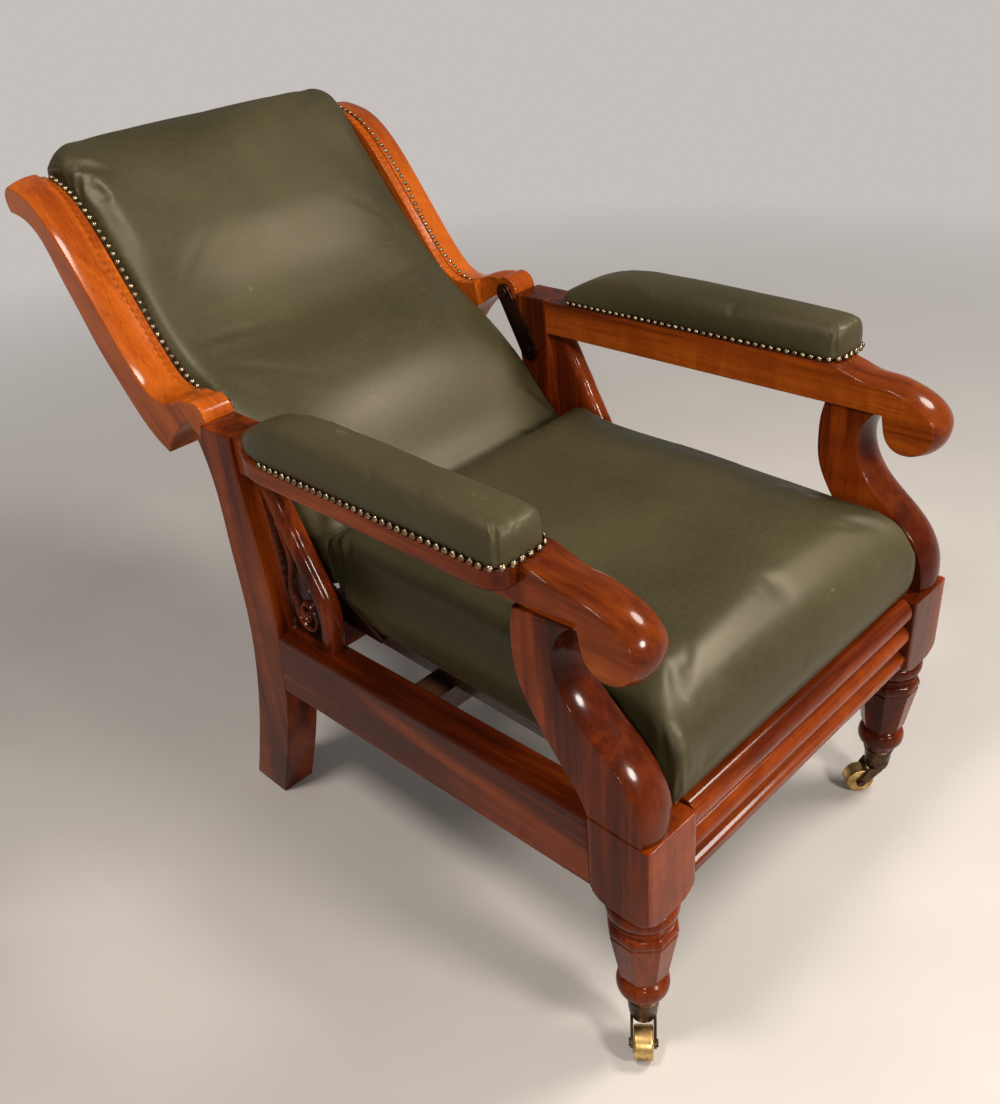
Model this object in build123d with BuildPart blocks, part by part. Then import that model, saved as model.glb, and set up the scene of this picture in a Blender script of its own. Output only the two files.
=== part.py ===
from build123d import *
import math
import os

os.makedirs("parts", exist_ok=True)

# Reclining armchair, millimetres, +Z up, the front faces -Y.
# Depths are measured back from the front face of the leg blocks, heights from the floor.
# The rest position is the reclined one: the back leans and the seat is fully forward.

# Widths, as distances from the middle plane
leg_outer = 330
leg_width = 56
leg_inner = leg_outer - leg_width
arm_outer = 324
arm_inner = 270
arm_width = arm_outer - arm_inner
wing_reach = 33
wing_outer = arm_outer + wing_reach
rail_thickness = 50
rail_inner = leg_outer - rail_thickness
stile_outer = 321
stile_inner = 275
cushion_half = 262

# Small clearances between pieces that move, and the seating of pieces that are fixed
move_gap = 0.4
seat_sink = 0.3
pin_gap = 0.05
overrun = 2

# Pivot of the back, at the rear top corner of the posts
pivot_depth = 768
pivot_height = 664
nose_radius = 24
back_reach = 420
back_rise = 260
overall_depth = pivot_depth + back_reach
mid_depth = overall_depth / 2


def place(depth, height):
    """Turn a depth and a height into the Y and Z of the part's frame."""
    return (depth - mid_depth, height)


def spot(side, across, depth, height):
    """Give the point of one side of the chair in the part's frame."""
    return (side * across, depth - mid_depth, height)


def outline(shares, depth, height, reach, rise):
    """Scale a table of shares to a reach and a rise from one corner."""
    return [place(depth + a * reach, height + b * rise) for a, b in shares]


def side_plane(side, across):
    """Give the upright plane that lies across from the middle on one side."""
    return Plane.YZ.offset(side * across)


sides = ((-1, "left"), (1, "right"))
dome_align = (Align.CENTER, Align.CENTER, Align.MIN)

# Front leg block and turning
block_size = 85
block_bottom = 262
block_top = 384
leg_axis = leg_outer - block_size / 2
leg_axis_depth = block_size / 2
shoulder_height = 20
shoulder_radius = 61
ring_radius = 42.4
ring_top = 252
ring_height = 24
neck_radius = 38
collar_top = 221
collar_height = 13
octagon_top = 207
octagon_bottom = 131
octagon_top_radius = 43
octagon_bottom_radius = 31
octagon_turn = 22.5
waist_radius = 26
bulb_top = 123
bulb_height = 27
bulb_radius = 32.5
taper_top = 94
taper_radius = 22
socket_top = 84
socket_top_radius = 18.2
socket_bottom = 53
socket_bottom_radius = 15.2

# Castor
cup_wall = 2.2
cup_floor = 3.5
cup_rim = 1.8
wheel_radius = 21
wheel_width = 24
wheel_round = 3
trail = 26
cheek_thickness = 3.6
cheek_gap = 0.5
axle_radius = 3
axle_head_radius = 5
axle_head = 2
horn_radius = 15.5
horn_thickness = 5
horn_gap = 0.4
spindle_radius = 4
spindle_rise = 24
spindle_head_radius = 7.5
spindle_head = 2.4
castor_turns = {-1: (-0.78, -0.62), 1: (-0.74, 0.67)}

# Back leg and post, shares of the pivot's depth and height
post_front_shares = (
    (0.977, 0), (0.895, 0.283), (0.868, 0.452), (0.858, 0.572), (0.864, 0.75), (0.88, 0.911),
)
post_rear_shares = (
    (1.0, 1.0), (0.971, 0.904), (0.961, 0.72), (0.957, 0.557), (0.967, 0.437), (0.997, 0.279), (1.076, 0),
)
post_face = 676

# Side rails fall towards the back
rail_front_bottom = 279
rail_front_top = 381
rail_fall = 26
rail_reach = 590
rail_arris = 5

# Front rail with its reed, and the moving seat rail above it
front_rail_bottom = 276
front_rail_top = 346
front_rail_back = 44
front_rail_face = 16
reed_depth = 4
step_height = 18
step_depth = 12
reed_bottom = 313
reed_top = 343
rail_end_gap = 2.5
block_inner = leg_outer - block_size

# Arms fall towards the back
arm_front_depth = 165
arm_under_front = 624
arm_top_front = 678
arm_fall = 14
arm_thickness = arm_top_front - arm_under_front
wing_thickness = 29
wing_front_round = 30
wing_rear_depth = 655
wing_rear_reach = 80
wing_edge_round = 9
scroll_reach = 165
scroll_drop = 100
scroll_top_shares = (
    (1.0, 1.0), (0.76, 0.98), (0.58, 0.965), (0.42, 0.91), (0.25, 0.8), (0.14, 0.665), (0.085, 0.49),
    (0.085, 0.36),
)
scroll_under_shares = ((0.15, 0.13), (0.315, 0.01), (0.455, 0.075), (0.545, 0.27))
arm_edge_round = 7

# Arm support, shares of its reach and rise above the leg block
support_reach = 180
support_rear_shares = (
    (0.978, 1.0), (1.005, 0.9), (1.011, 0.8), (0.983, 0.61), (0.878, 0.45), (0.7, 0.26), (0.56, 0.125),
    (0.506, 0.06), (0.472, 0),
)
support_front_shares = (
    (0.506, 1.0), (0.594, 0.945), (0.65, 0.83), (0.622, 0.705), (0.539, 0.6), (0.356, 0.475),
    (0.183, 0.36), (0.072, 0.235), (0.022, 0.09), (0.017, 0),
)
support_outer = 324
support_width = 50
support_round = 8

# Carved bracket in the corner between the post, the arm and the side rail
bracket_outer = 312
bracket_inner = 281
bracket_foot = 560
bracket_front_shares = (
    (0.794, 1.0), (0.556, 0.805), (0.429, 0.694), (0.294, 0.567), (0.179, 0.464), (0.063, 0.357), (0, 0.238),
    (0.004, 0.143), (0.04, 0.063), (0.087, 0),
)
bracket_reach = 126
bracket_round = 8
panel_front_shares = (
    (0.659, 0.777), (0.563, 0.714), (0.405, 0.567), (0.294, 0.464), (0.175, 0.357), (0.111, 0.238), (0.115, 0.143),
    (0.159, 0.04),
)
panel_foot_share = (0.738, 0.036)
panel_sink = 5
volute_radius = 21
volute_share = (0.437, 0.202)
volute_ring_share = 0.66
volute_eye_share = 0.36

# Arm pad
pad_inset = 3
pad_inner = arm_inner + pad_inset
pad_outer = wing_outer - pad_inset
pad_front = arm_front_depth + pad_inset / 3
pad_back = wing_rear_depth - pad_inset
pad_height = 60
pad_bulge = 3
pad_shoulder_share = 0.72
pad_station_shares = (
    (0, 0.5, 1.0), (0.035, 0.66, 0.3), (0.13, 0.82, 0), (0.3, 0.95, 0), (0.5, 1.0, 0), (0.7, 0.95, 0),
    (0.87, 0.72, 0), (0.965, 0.42, 0.3), (1, 0.2, 1.0),
)
pad_end_inset = 9

# Upholstery nails
nail_radius = 4.6
nail_pitch = 13
nail_first = 55
nail_inset = 5.2
nail_across = cushion_half + nail_inset

# Pivot plates and pins
plate_thickness = 5
plate_outer = leg_inner
plate_inner = plate_outer - plate_thickness
plate_eye = 14
plate_width = 34
plate_drop = 90
plate_lean = 50
pin_radius = 6
pin_end = 311
pin_hole_end = 312
pin_head_radius = 10
pin_head = 3.6
screw_radius = 4.5
screw_head = 1.6
screw_shares = (0.55, 1.0)

# Back stile, shares of the back's reach and rise from the pivot
stile_front_shares = (
    (0.078, 0.08), (0.148, 0.032), (0.224, 0.012), (0.281, 0.03), (0.336, 0.092), (0.421, 0.246),
    (0.502, 0.415), (0.581, 0.581), (0.664, 0.746), (0.743, 0.869), (0.814, 0.945), (0.886, 0.985), (0.942, 1.0),
)
stile_rear_shares = (
    (0.985, 0.842), (0.931, 0.835), (0.87, 0.81), (0.81, 0.75), (0.733, 0.565), (0.657, 0.373),
    (0.581, 0.181), (0.493, 0.015), (0.402, -0.142), (0.305, -0.262), (0.24, -0.308),
)
stile_cove_share = (0.135, -0.125)
nose_start = -24.4
nose_end = 72
full_turn = 360
stile_inset_radius = 58

# Inner frame of the back: the line of its front face, shares of the same reach and rise
frame_line_shares = ((-0.29, -0.808), (0.176, -0.138), (0.326, 0.046), (0.838, 0.927))
frame_thickness = 30
frame_member = 26
frame_half = 256
frame_widens = 830
back_rail_length = 46
skirt = cushion_half - frame_half
skirt_gap = 0.3
drive_pin_up = 13
drive_pin_in = 18
webbing_thickness = 2
webbing_width = 50
webbing_count = 5
webbing_end = 20
cover_thickness = 2.5

# Back cushion: its side outline in shares of the same reach and rise, and its crown
back_face_shares = (
    (-0.362, -0.665), (-0.2, -0.43), (-0.05, -0.22), (0.115, -0.04), (0.26, 0.085), (0.335, 0.185),
    (0.42, 0.34), (0.55, 0.6), (0.68, 0.86), (0.77, 1.02), (0.84, 1.11),
)
back_roll_shares = ((0.9, 1.16), (0.955, 1.12), (0.975, 1.03), (0.93, 0.93))
back_crown = 27
back_crown_shares = (0.3, 0.55, 0.8, 1.0, 1.0, 1.0, 1.0, 1.0, 1.0, 0.8, 0.6)
across_shares = (-1, -0.95, -0.8, -0.45, 0, 0.45, 0.8, 0.95, 1)
crown_shares = (0, 0.4, 0.78, 0.96, 1.0, 0.96, 0.78, 0.4, 0)

# Seat frame, its slides and the runners that carry them
seat_bottom = 388
seat_frame_member = 36
seat_frame_height = 34
seat_frame_front = 22
seat_frame_back = 572
seat_rail_face = 14
seat_rail_back = 38
seat_reed_bottom = 352
seat_reed_top = 382
seat_gap = 0.5
runner_inner = 152
runner_outer = 198
runner_bottom = 298
runner_lip = 8
runner_top = front_rail_top
slide_width = 30
slide_side_gap = 0.6
rear_rail_bottom = 262
rear_rail_top = 345
rear_rail_front = post_face
rear_rail_thickness = 30
cross_rail_front = 440
cross_rail_back = 489
cross_rail_bottom = 262

# Seat cushion, its side outline in shares of its length and height
cushion_front = 7
cushion_back = 603
cushion_side_top = 500
cushion_crown = 26
seat_front_shares = ((0.018, 0), (0.006, 0.2), (0, 0.45), (0.01, 0.7), (0.05, 0.92))
seat_top_shares = ((0.05, 0.92), (0.14, 1.0), (0.35, 1.0), (0.65, 1.0), (0.9, 1.03), (0.975, 1.04))
seat_back_shares = ((0.975, 1.04), (1.0, 0.93), (0.992, 0.7), (0.975, 0.4), (0.958, 0))
seat_crown_shares = (0.55, 0.9, 1.0, 1.0, 0.75, 0.4)
cushion_round = 9

# Drive between back and seat: an upright slot on the seat and a pin on the back
drive_pin_radius = 5
drive_pin_head_radius = 8
drive_pin_head = 2
drive_inner = 263.5
drive_thickness = 4
drive_slot_half = 6.6
drive_slot_low = 419
drive_slot_high = 459
drive_rim = 9
drive_foot_front = 500
drive_foot_back = 566
drive_foot_inner = 222
drive_foot_thickness = 3.6

arm_slope = arm_fall / (pivot_depth - arm_front_depth)
rail_slope = rail_fall / rail_reach


def arm_under(depth):
    """Height of the arm's underside: front height less the slope times the depth behind it."""
    return arm_under_front - (depth - arm_front_depth) * arm_slope


def arm_top(depth):
    """Height of the arm's upper side."""
    return arm_under(depth) + arm_thickness


def rail_top(depth):
    """Height of the side rail's upper side."""
    return rail_front_top - (depth - block_size) * rail_slope


def rail_under(depth):
    """Height of the side rail's lower side."""
    return rail_front_bottom - (depth - block_size) * rail_slope


def save(piece, label):
    """Label a finished piece and write it as its own STEP file."""
    piece.part.label = label
    export_step(piece.part, "parts/" + label + ".step")
    print(label)


def post_outline():
    """Draw the closed side outline of the back leg."""
    front = outline(post_front_shares, 0, 0, pivot_depth, pivot_height)
    front[-1] = place(post_face, front[-1][1])
    rear = outline(post_rear_shares, 0, 0, pivot_depth, pivot_height)
    Spline(*front)
    Polyline(front[-1], place(post_face, arm_top(post_face)), rear[0])
    Spline(*rear)
    Line(rear[-1], front[0])


def shifted(points, amount):
    """Move a line of points to its rear side by an amount, mitred at each point."""
    ways = []
    for a, b in zip(points, points[1:]):
        length = math.dist(a, b)
        ways.append(((b[1] - a[1]) / length, (a[0] - b[0]) / length))
    moved = []
    for index, (y, z) in enumerate(points):
        before = ways[max(index - 1, 0)]
        after = ways[min(index, len(ways) - 1)]
        total = (before[0] + after[0], before[1] + after[1])
        scale = 2 * amount / (total[0] ** 2 + total[1] ** 2)
        moved.append((y + total[0] * scale, z + total[1] * scale))
    return moved


def between(a, b, distance):
    """Give the point at a distance from a towards b."""
    share = distance / math.dist(a, b)
    return (a[0] + (b[0] - a[0]) * share, a[1] + (b[1] - a[1]) * share)


def band(points, near, far):
    """Draw round the strip between two shifted copies of a line."""
    Polyline(*shifted(points, near), *reversed(shifted(points, far)), close=True)


# Back legs
for side, name in sides:
    with BuildPart() as back_leg:
        with BuildSketch(side_plane(side, leg_inner)):
            with BuildLine():
                post_outline()
            make_face()
        extrude(amount=side * leg_width)
        with BuildSketch(side_plane(side, leg_inner - overrun)):
            with Locations(place(pivot_depth, pivot_height)):
                Circle(nose_radius + move_gap)
        extrude(amount=side * (leg_width + 2 * overrun), mode=Mode.SUBTRACT)
    save(back_leg, "back_leg_" + name)

# Side rails, shouldered against the leg block and the back leg
for side, name in sides:
    with BuildPart() as side_rail:
        with BuildSketch(side_plane(side, rail_inner)):
            with BuildLine():
                Polyline(
                    place(block_size, rail_under(block_size)),
                    place(post_face, rail_under(post_face)),
                    place(post_face, rail_top(post_face)),
                    place(block_size, rail_top(block_size)),
                    close=True,
                )
            make_face()
        extrude(amount=side * rail_thickness)
        arris = side_rail.edges().filter_by(lambda e: e.length > rail_reach / 2).group_by(Axis.Z)[-1]
        fillet(arris.sort_by(Axis.X)[0 if side < 0 else -1], rail_arris)
        with BuildSketch(side_plane(side, rail_inner - overrun)):
            with BuildLine():
                post_outline()
            make_face()
        extrude(amount=side * (rail_thickness + 2 * overrun), mode=Mode.SUBTRACT)
    save(side_rail, "side_rail_" + name)

# Front rail: a stepped fillet, a hollow and a reed
with BuildPart() as front_rail:
    with BuildSketch(Plane.YZ.offset(-block_inner)):
        with BuildLine():
            Polyline(
                place(reed_depth + step_depth / 2, reed_bottom),
                place(front_rail_face, reed_bottom),
                place(front_rail_face, front_rail_bottom + step_height),
                place(step_depth, front_rail_bottom + step_height),
                place(step_depth, front_rail_bottom),
                place(front_rail_back, front_rail_bottom),
                place(front_rail_back, front_rail_top),
                place(front_rail_face, front_rail_top),
                place(front_rail_face, reed_top),
                place(reed_depth + step_depth / 2, reed_top),
            )
            ThreePointArc(
                place(reed_depth + step_depth / 2, reed_top),
                place(reed_depth, (reed_top + reed_bottom) / 2),
                place(reed_depth + step_depth / 2, reed_bottom),
            )
        make_face()
    extrude(amount=2 * block_inner)
save(front_rail, "front_rail")

# Rear rail and middle cross rail
with BuildPart() as rear_rail:
    with Locations(spot(0, 0, rear_rail_front + rear_rail_thickness / 2, (rear_rail_bottom + rear_rail_top) / 2)):
        Box(2 * leg_inner, rear_rail_thickness, rear_rail_top - rear_rail_bottom)
save(rear_rail, "rear_rail")

with BuildPart() as cross_rail:
    with Locations(spot(0, 0, (cross_rail_front + cross_rail_back) / 2, (cross_rail_bottom + runner_bottom) / 2)):
        Box(2 * rail_inner, cross_rail_back - cross_rail_front, runner_bottom - cross_rail_bottom)
save(cross_rail, "cross_rail")

# Runners with a grooved top that guides the slides of the seat
runner_length = rear_rail_front - front_rail_back
runner_middle = (runner_inner + runner_outer) / 2
for side, name in sides:
    with BuildPart() as runner:
        with Locations(spot(side, runner_middle, front_rail_back + runner_length / 2, (runner_bottom + runner_top) / 2)):
            Box(runner_outer - runner_inner, runner_length, runner_top - runner_bottom)
        with Locations(spot(side, runner_middle, front_rail_back + runner_length / 2, runner_top - runner_lip / 2)):
            Box(slide_width + 2 * slide_side_gap, runner_length + overrun, runner_lip, mode=Mode.SUBTRACT)
    save(runner, "seat_runner_" + name)

# Front legs: square block, lathe-cut shoulder, ring, collar, eight-sided taper, bulb and socket end
for side, name in sides:
    axis = Axis(spot(side, leg_axis, leg_axis_depth, 0), (0, 0, 1))
    upright = Plane(origin=spot(side, leg_axis, leg_axis_depth, 0), x_dir=(1, 0, 0), z_dir=(0, -1, 0))
    with BuildPart() as front_leg:
        with Locations(spot(side, leg_axis, leg_axis_depth, (block_bottom + block_top) / 2)):
            Box(block_size, block_size, block_top - block_bottom)
        with BuildSketch(upright):
            with BuildLine():
                Polyline(
                    (0, block_bottom),
                    (ring_radius, block_bottom),
                    (shoulder_radius, block_bottom + shoulder_height),
                    (shoulder_radius, block_top),
                    (0, block_top),
                    close=True,
                )
            make_face()
        revolve(axis=axis, mode=Mode.INTERSECT)
        with BuildSketch(upright):
            with BuildLine():
                Polyline((ring_radius, block_bottom), (0, block_bottom), (0, socket_bottom), (socket_bottom_radius, socket_bottom), (socket_top_radius, socket_top))
                Line((socket_top_radius, socket_top), (taper_radius, socket_top))
                Line((taper_radius, socket_top), (taper_radius + (taper_radius - socket_top_radius) / 2, taper_top))
                Line((taper_radius + (taper_radius - socket_top_radius) / 2, taper_top), (waist_radius, bulb_top - bulb_height))
                ThreePointArc((waist_radius, bulb_top - bulb_height), (bulb_radius, bulb_top - bulb_height / 2), (waist_radius, bulb_top))
                Polyline((waist_radius, bulb_top), (waist_radius, octagon_top), (neck_radius, octagon_top), (neck_radius, collar_top - collar_height))
                ThreePointArc((neck_radius, collar_top - collar_height), (ring_radius, collar_top - collar_height / 2), (neck_radius, collar_top))
                Line((neck_radius, collar_top), (neck_radius, ring_top - ring_height))
                ThreePointArc((neck_radius, ring_top - ring_height), (ring_radius, ring_top - ring_height / 2), (neck_radius, ring_top))
                Polyline((neck_radius, ring_top), (ring_radius, block_bottom))
            make_face()
        revolve(axis=axis)
        with BuildSketch(Plane(origin=spot(side, leg_axis, leg_axis_depth, octagon_top))):
            RegularPolygon(octagon_top_radius, 8, rotation=octagon_turn)
        with BuildSketch(Plane(origin=spot(side, leg_axis, leg_axis_depth, octagon_bottom))):
            RegularPolygon(octagon_bottom_radius, 8, rotation=octagon_turn)
        loft()
        with Locations(spot(side, leg_axis, leg_axis_depth, socket_bottom + spindle_rise / 2 - cup_floor / 2)):
            Cylinder(spindle_radius, spindle_rise - cup_floor, mode=Mode.SUBTRACT)
    save(front_leg, "front_leg_" + name)

# Castor cups round the socket ends
cup_bottom = socket_bottom - cup_floor
for side, name in sides:
    axis = Axis(spot(side, leg_axis, leg_axis_depth, 0), (0, 0, 1))
    upright = Plane(origin=spot(side, leg_axis, leg_axis_depth, 0), x_dir=(1, 0, 0), z_dir=(0, -1, 0))
    with BuildPart() as castor_cup:
        with BuildSketch(upright):
            with BuildLine():
                Polyline(
                    (spindle_radius, cup_bottom),
                    (socket_bottom_radius + cup_wall, cup_bottom),
                    (socket_top_radius + cup_wall, socket_top - 2 * cup_rim),
                    (socket_top_radius + cup_wall + cup_rim, socket_top - cup_rim),
                    (socket_top_radius + cup_wall, socket_top),
                    (socket_top_radius, socket_top),
                    (socket_bottom_radius, socket_bottom),
                    (spindle_radius, socket_bottom),
                    close=True,
                )
            make_face()
        revolve(axis=axis)
    save(castor_cup, "castor_cup_" + name)

# Spindles, horns, axles and wheels, each castor turned as it stands in the photograph
horn_top = cup_bottom - horn_gap
horn_bottom = horn_top - horn_thickness
cheek_inner = wheel_width / 2 + cheek_gap
cheek_outer = cheek_inner + cheek_thickness
for side, name in sides:
    along = castor_turns[side]
    norm = math.hypot(*along)
    ahead = (along[0] / norm, along[1] / norm, 0)
    beside = (ahead[1], -ahead[0], 0)
    centre = spot(side, leg_axis, leg_axis_depth, 0)

    with BuildPart() as horn:
        with BuildSketch(Plane(origin=spot(side, leg_axis, leg_axis_depth, horn_bottom))):
            Circle(horn_radius)
            Circle(spindle_radius + pin_gap, mode=Mode.SUBTRACT)
        extrude(amount=horn_thickness)
        for edge in (cheek_inner, -cheek_outer):
            with BuildSketch(Plane(origin=centre, x_dir=ahead, z_dir=beside).offset(edge)):
                with BuildLine():
                    Polyline((-spindle_radius, horn_top), (horn_radius, horn_top), (trail + axle_head_radius, wheel_radius), (trail - axle_head_radius, wheel_radius - spindle_radius), (-spindle_radius, horn_bottom), close=True)
                make_face()
                with Locations((trail, wheel_radius)):
                    Circle(axle_head_radius + overrun)
                with Locations((trail, wheel_radius)):
                    Circle(axle_radius, mode=Mode.SUBTRACT)
            extrude(amount=cheek_thickness)
    save(horn, "castor_horn_" + name)

    hub = Plane(origin=centre, x_dir=ahead, z_dir=beside)
    with BuildPart() as axle:
        with BuildSketch(hub.offset(-cheek_outer)):
            with Locations((trail, wheel_radius)):
                Circle(axle_radius)
        extrude(amount=2 * cheek_outer)
        with BuildSketch(hub.offset(cheek_outer), hub.offset(-cheek_outer - axle_head)):
            with Locations((trail, wheel_radius)):
                Circle(axle_head_radius)
        extrude(amount=axle_head)
    save(axle, "castor_axle_" + name)

    with BuildPart() as wheel:
        with BuildSketch(hub.offset(-wheel_width / 2)):
            with Locations((trail, wheel_radius)):
                Circle(wheel_radius)
                Circle(axle_radius + pin_gap, mode=Mode.SUBTRACT)
        extrude(amount=wheel_width)
        rims = wheel.edges().filter_by(GeomType.CIRCLE).filter_by(lambda e: e.radius > wheel_radius / 2)
        fillet(rims, wheel_round)
    save(wheel, "castor_wheel_" + name)

with BuildPart() as spindles:
    for side, name in sides:
        with BuildSketch(Plane(origin=spot(side, leg_axis, leg_axis_depth, horn_bottom - horn_gap))):
            Circle(spindle_radius)
        extrude(amount=cup_bottom + spindle_rise - horn_bottom + horn_gap)
        with BuildSketch(Plane(origin=spot(side, leg_axis, leg_axis_depth, horn_bottom - horn_gap))):
            Circle(spindle_head_radius)
        extrude(amount=-spindle_head)
save(spindles, "castor_spindles")

# Arm supports: sabre-shaped scrolls on the leg blocks
support_rise = arm_under_front - block_top
for side, name in sides:
    rear = outline(support_rear_shares, 0, block_top, support_reach, support_rise)
    front = outline(support_front_shares, 0, block_top, support_reach, support_rise)
    rear[0] = place(rear[0][0] + mid_depth, arm_under(rear[0][0] + mid_depth))
    front[0] = place(front[0][0] + mid_depth, arm_under(front[0][0] + mid_depth))
    with BuildPart() as arm_support:
        with BuildSketch(side_plane(side, support_outer - support_width)):
            with BuildLine():
                Spline(*rear)
                Spline(*front)
                Line(rear[0], front[0])
                Line(rear[-1], front[-1])
            make_face()
        extrude(amount=side * support_width)
        front_edges = arm_support.edges().filter_by(GeomType.BSPLINE).sort_by(Axis.Y)[0:2]
        fillet(front_edges, support_round)
    save(arm_support, "arm_support_" + name)

# Arms: a beam with a rolled front and a wider board on the outside below the pad
for side, name in sides:
    roll_base = arm_under_front - scroll_drop / 2
    roll = [place(a * scroll_reach, roll_base + b * scroll_drop) for a, b in scroll_top_shares]
    roll[0] = place(arm_front_depth, arm_top_front)
    under = [place(a * scroll_reach, roll_base + b * scroll_drop) for a, b in scroll_under_shares]
    under_end = place(support_front_shares[0][0] * support_reach, arm_under(support_front_shares[0][0] * support_reach))
    wing_length = wing_rear_depth - arm_front_depth
    middle = side * (arm_inner + arm_width / 2)
    corner_cut = wing_front_round * (1 - math.sqrt(0.5))
    slope_plane = Plane(origin=spot(0, 0, arm_front_depth, arm_top_front), x_dir=(1, 0, 0), z_dir=(0, arm_slope, 1))
    with BuildPart() as arm:
        with BuildSketch(slope_plane.offset(-wing_thickness)):
            with BuildLine():
                Polyline(
                    (side * arm_outer, wing_length),
                    (middle, wing_length),
                    (middle, 0),
                    (side * (wing_outer - wing_front_round), 0),
                )
                ThreePointArc(
                    (side * (wing_outer - wing_front_round), 0),
                    (side * (wing_outer - corner_cut), corner_cut),
                    (side * wing_outer, wing_front_round),
                )
                Line((side * wing_outer, wing_front_round), (side * wing_outer, wing_length - wing_rear_reach))
                Spline(
                    (side * wing_outer, wing_length - wing_rear_reach),
                    (side * (arm_outer + wing_outer) / 2, wing_length - wing_rear_reach / 4),
                    (side * arm_outer, wing_length),
                    tangents=[(0, 1), (0, 1)],
                )
            make_face()
        extrude(amount=wing_thickness)
        low = arm.faces().sort_by(Axis.Z)[0].edges().filter_by(lambda e: abs(e.center().X) > arm_inner + arm_width)
        fillet(low, wing_edge_round)
        with BuildSketch(side_plane(side, arm_inner)):
            with BuildLine():
                Line(place(post_face, arm_top(post_face)), roll[0])
                Spline(*roll, *under, under_end)
                Polyline(
                    under_end,
                    place(post_face, arm_under(post_face)),
                    place(post_face, arm_top(post_face)),
                )
            make_face()
        extrude(amount=side * arm_width)
        rolled = arm.edges().filter_by(GeomType.BSPLINE).filter_by(lambda e: e.center().Y < slope_plane.origin.Y)
        fillet(rolled, arm_edge_round)
    save(arm, "arm_" + name)

# Carved brackets: a sunk panel with a volute behind a rounded front moulding
bracket_front = post_face - bracket_reach
for side, name in sides:
    foot = rail_top(bracket_foot)
    rise = arm_under(post_face) - foot
    shape = outline(bracket_front_shares, bracket_front, foot, bracket_reach, rise)
    shape[0] = place(shape[0][0] + mid_depth, arm_under(shape[0][0] + mid_depth))
    shape[-1] = place(shape[-1][0] + mid_depth, rail_top(shape[-1][0] + mid_depth))
    sunk = outline(panel_front_shares, bracket_front, foot, bracket_reach, rise)
    with BuildPart() as bracket:
        with BuildSketch(side_plane(side, bracket_inner)):
            with BuildLine():
                Spline(*shape)
                Polyline(
                    shape[-1],
                    place(post_face, rail_top(post_face)),
                    place(post_face, arm_under(post_face)),
                    shape[0],
                )
            make_face()
        extrude(amount=side * (bracket_outer - bracket_inner))
        fillet(bracket.edges().filter_by(GeomType.BSPLINE), bracket_round)
        with BuildSketch(side_plane(side, bracket_outer - panel_sink)):
            with BuildLine():
                Spline(*sunk)
                Polyline(sunk[-1], outline([panel_foot_share], bracket_front, foot, bracket_reach, rise)[0], sunk[0])
            make_face()
            with Locations(outline([volute_share], bracket_front, foot, bracket_reach, rise)[0]):
                Circle(volute_radius, mode=Mode.SUBTRACT)
                Circle(volute_radius * volute_ring_share)
                Circle(volute_radius * volute_eye_share, mode=Mode.SUBTRACT)
        extrude(amount=side * (panel_sink + overrun), mode=Mode.SUBTRACT)
        with BuildSketch(side_plane(side, bracket_inner - overrun)):
            with BuildLine():
                post_outline()
            make_face()
        extrude(amount=side * (bracket_outer - bracket_inner + 2 * overrun), mode=Mode.SUBTRACT)
    save(bracket, "arm_bracket_" + name)

# Arm pads: crowned across and along, with rounded ends
for side, name in sides:
    with BuildPart() as arm_pad:
        for share, height_share, inset in pad_station_shares:
            depth = pad_front + share * (pad_back - pad_front)
            base = arm_top(depth)
            top = base + pad_height * height_share
            inner = side * (pad_inner + pad_end_inset * inset)
            outer = side * (pad_outer - pad_end_inset * inset)
            middle = (inner + outer) / 2
            swell = side * pad_bulge
            shoulder = base + (top - base) * pad_shoulder_share
            with BuildSketch(Plane(origin=(0, depth - mid_depth, 0), x_dir=(1, 0, 0), z_dir=(0, -1, 0))):
                with BuildLine():
                    Line((inner, base), (outer, base))
                    ThreePointArc((outer, base), (outer + swell, (base + shoulder) / 2), (outer - swell, shoulder))
                    ThreePointArc((outer - swell, shoulder), (middle, top), (inner + swell, shoulder))
                    ThreePointArc((inner + swell, shoulder), (inner - swell / 2, (base + shoulder) / 2), (inner, base))
                make_face()
        loft()
    save(arm_pad, "arm_pad_" + name)

# Nails round the foot of both arm pads
pad_run = pad_back - pad_front - 4 * nail_pitch
side_count = round(pad_run / nail_pitch)
end_count = round((pad_outer - pad_inner) / nail_pitch) - 1
nail_spots = []
for side, name in sides:
    for step in range(side_count + 1):
        depth = pad_front + 2 * nail_pitch + step * pad_run / side_count
        for across, out in ((pad_outer + pad_bulge / 2, side), (pad_inner - pad_bulge / 4, -side)):
            centre = spot(side, across, depth, arm_top(depth) + nail_radius)
            nail_spots.append(Plane(origin=centre, z_dir=(out, 0, 0)).offset(-seat_sink).location)
    for step in range(end_count):
        across = pad_inner + (step + 1) * (pad_outer - pad_inner) / (end_count + 1)
        centre = spot(side, across, pad_front, arm_top(pad_front) + nail_radius)
        nail_spots.append(Plane(origin=centre, z_dir=(0, -1, 0)).offset(-seat_sink).location)
with BuildPart() as arm_nails:
    with Locations(*nail_spots):
        Sphere(nail_radius, arc_size1=0, align=dome_align)
save(arm_nails, "arm_nails")

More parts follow.
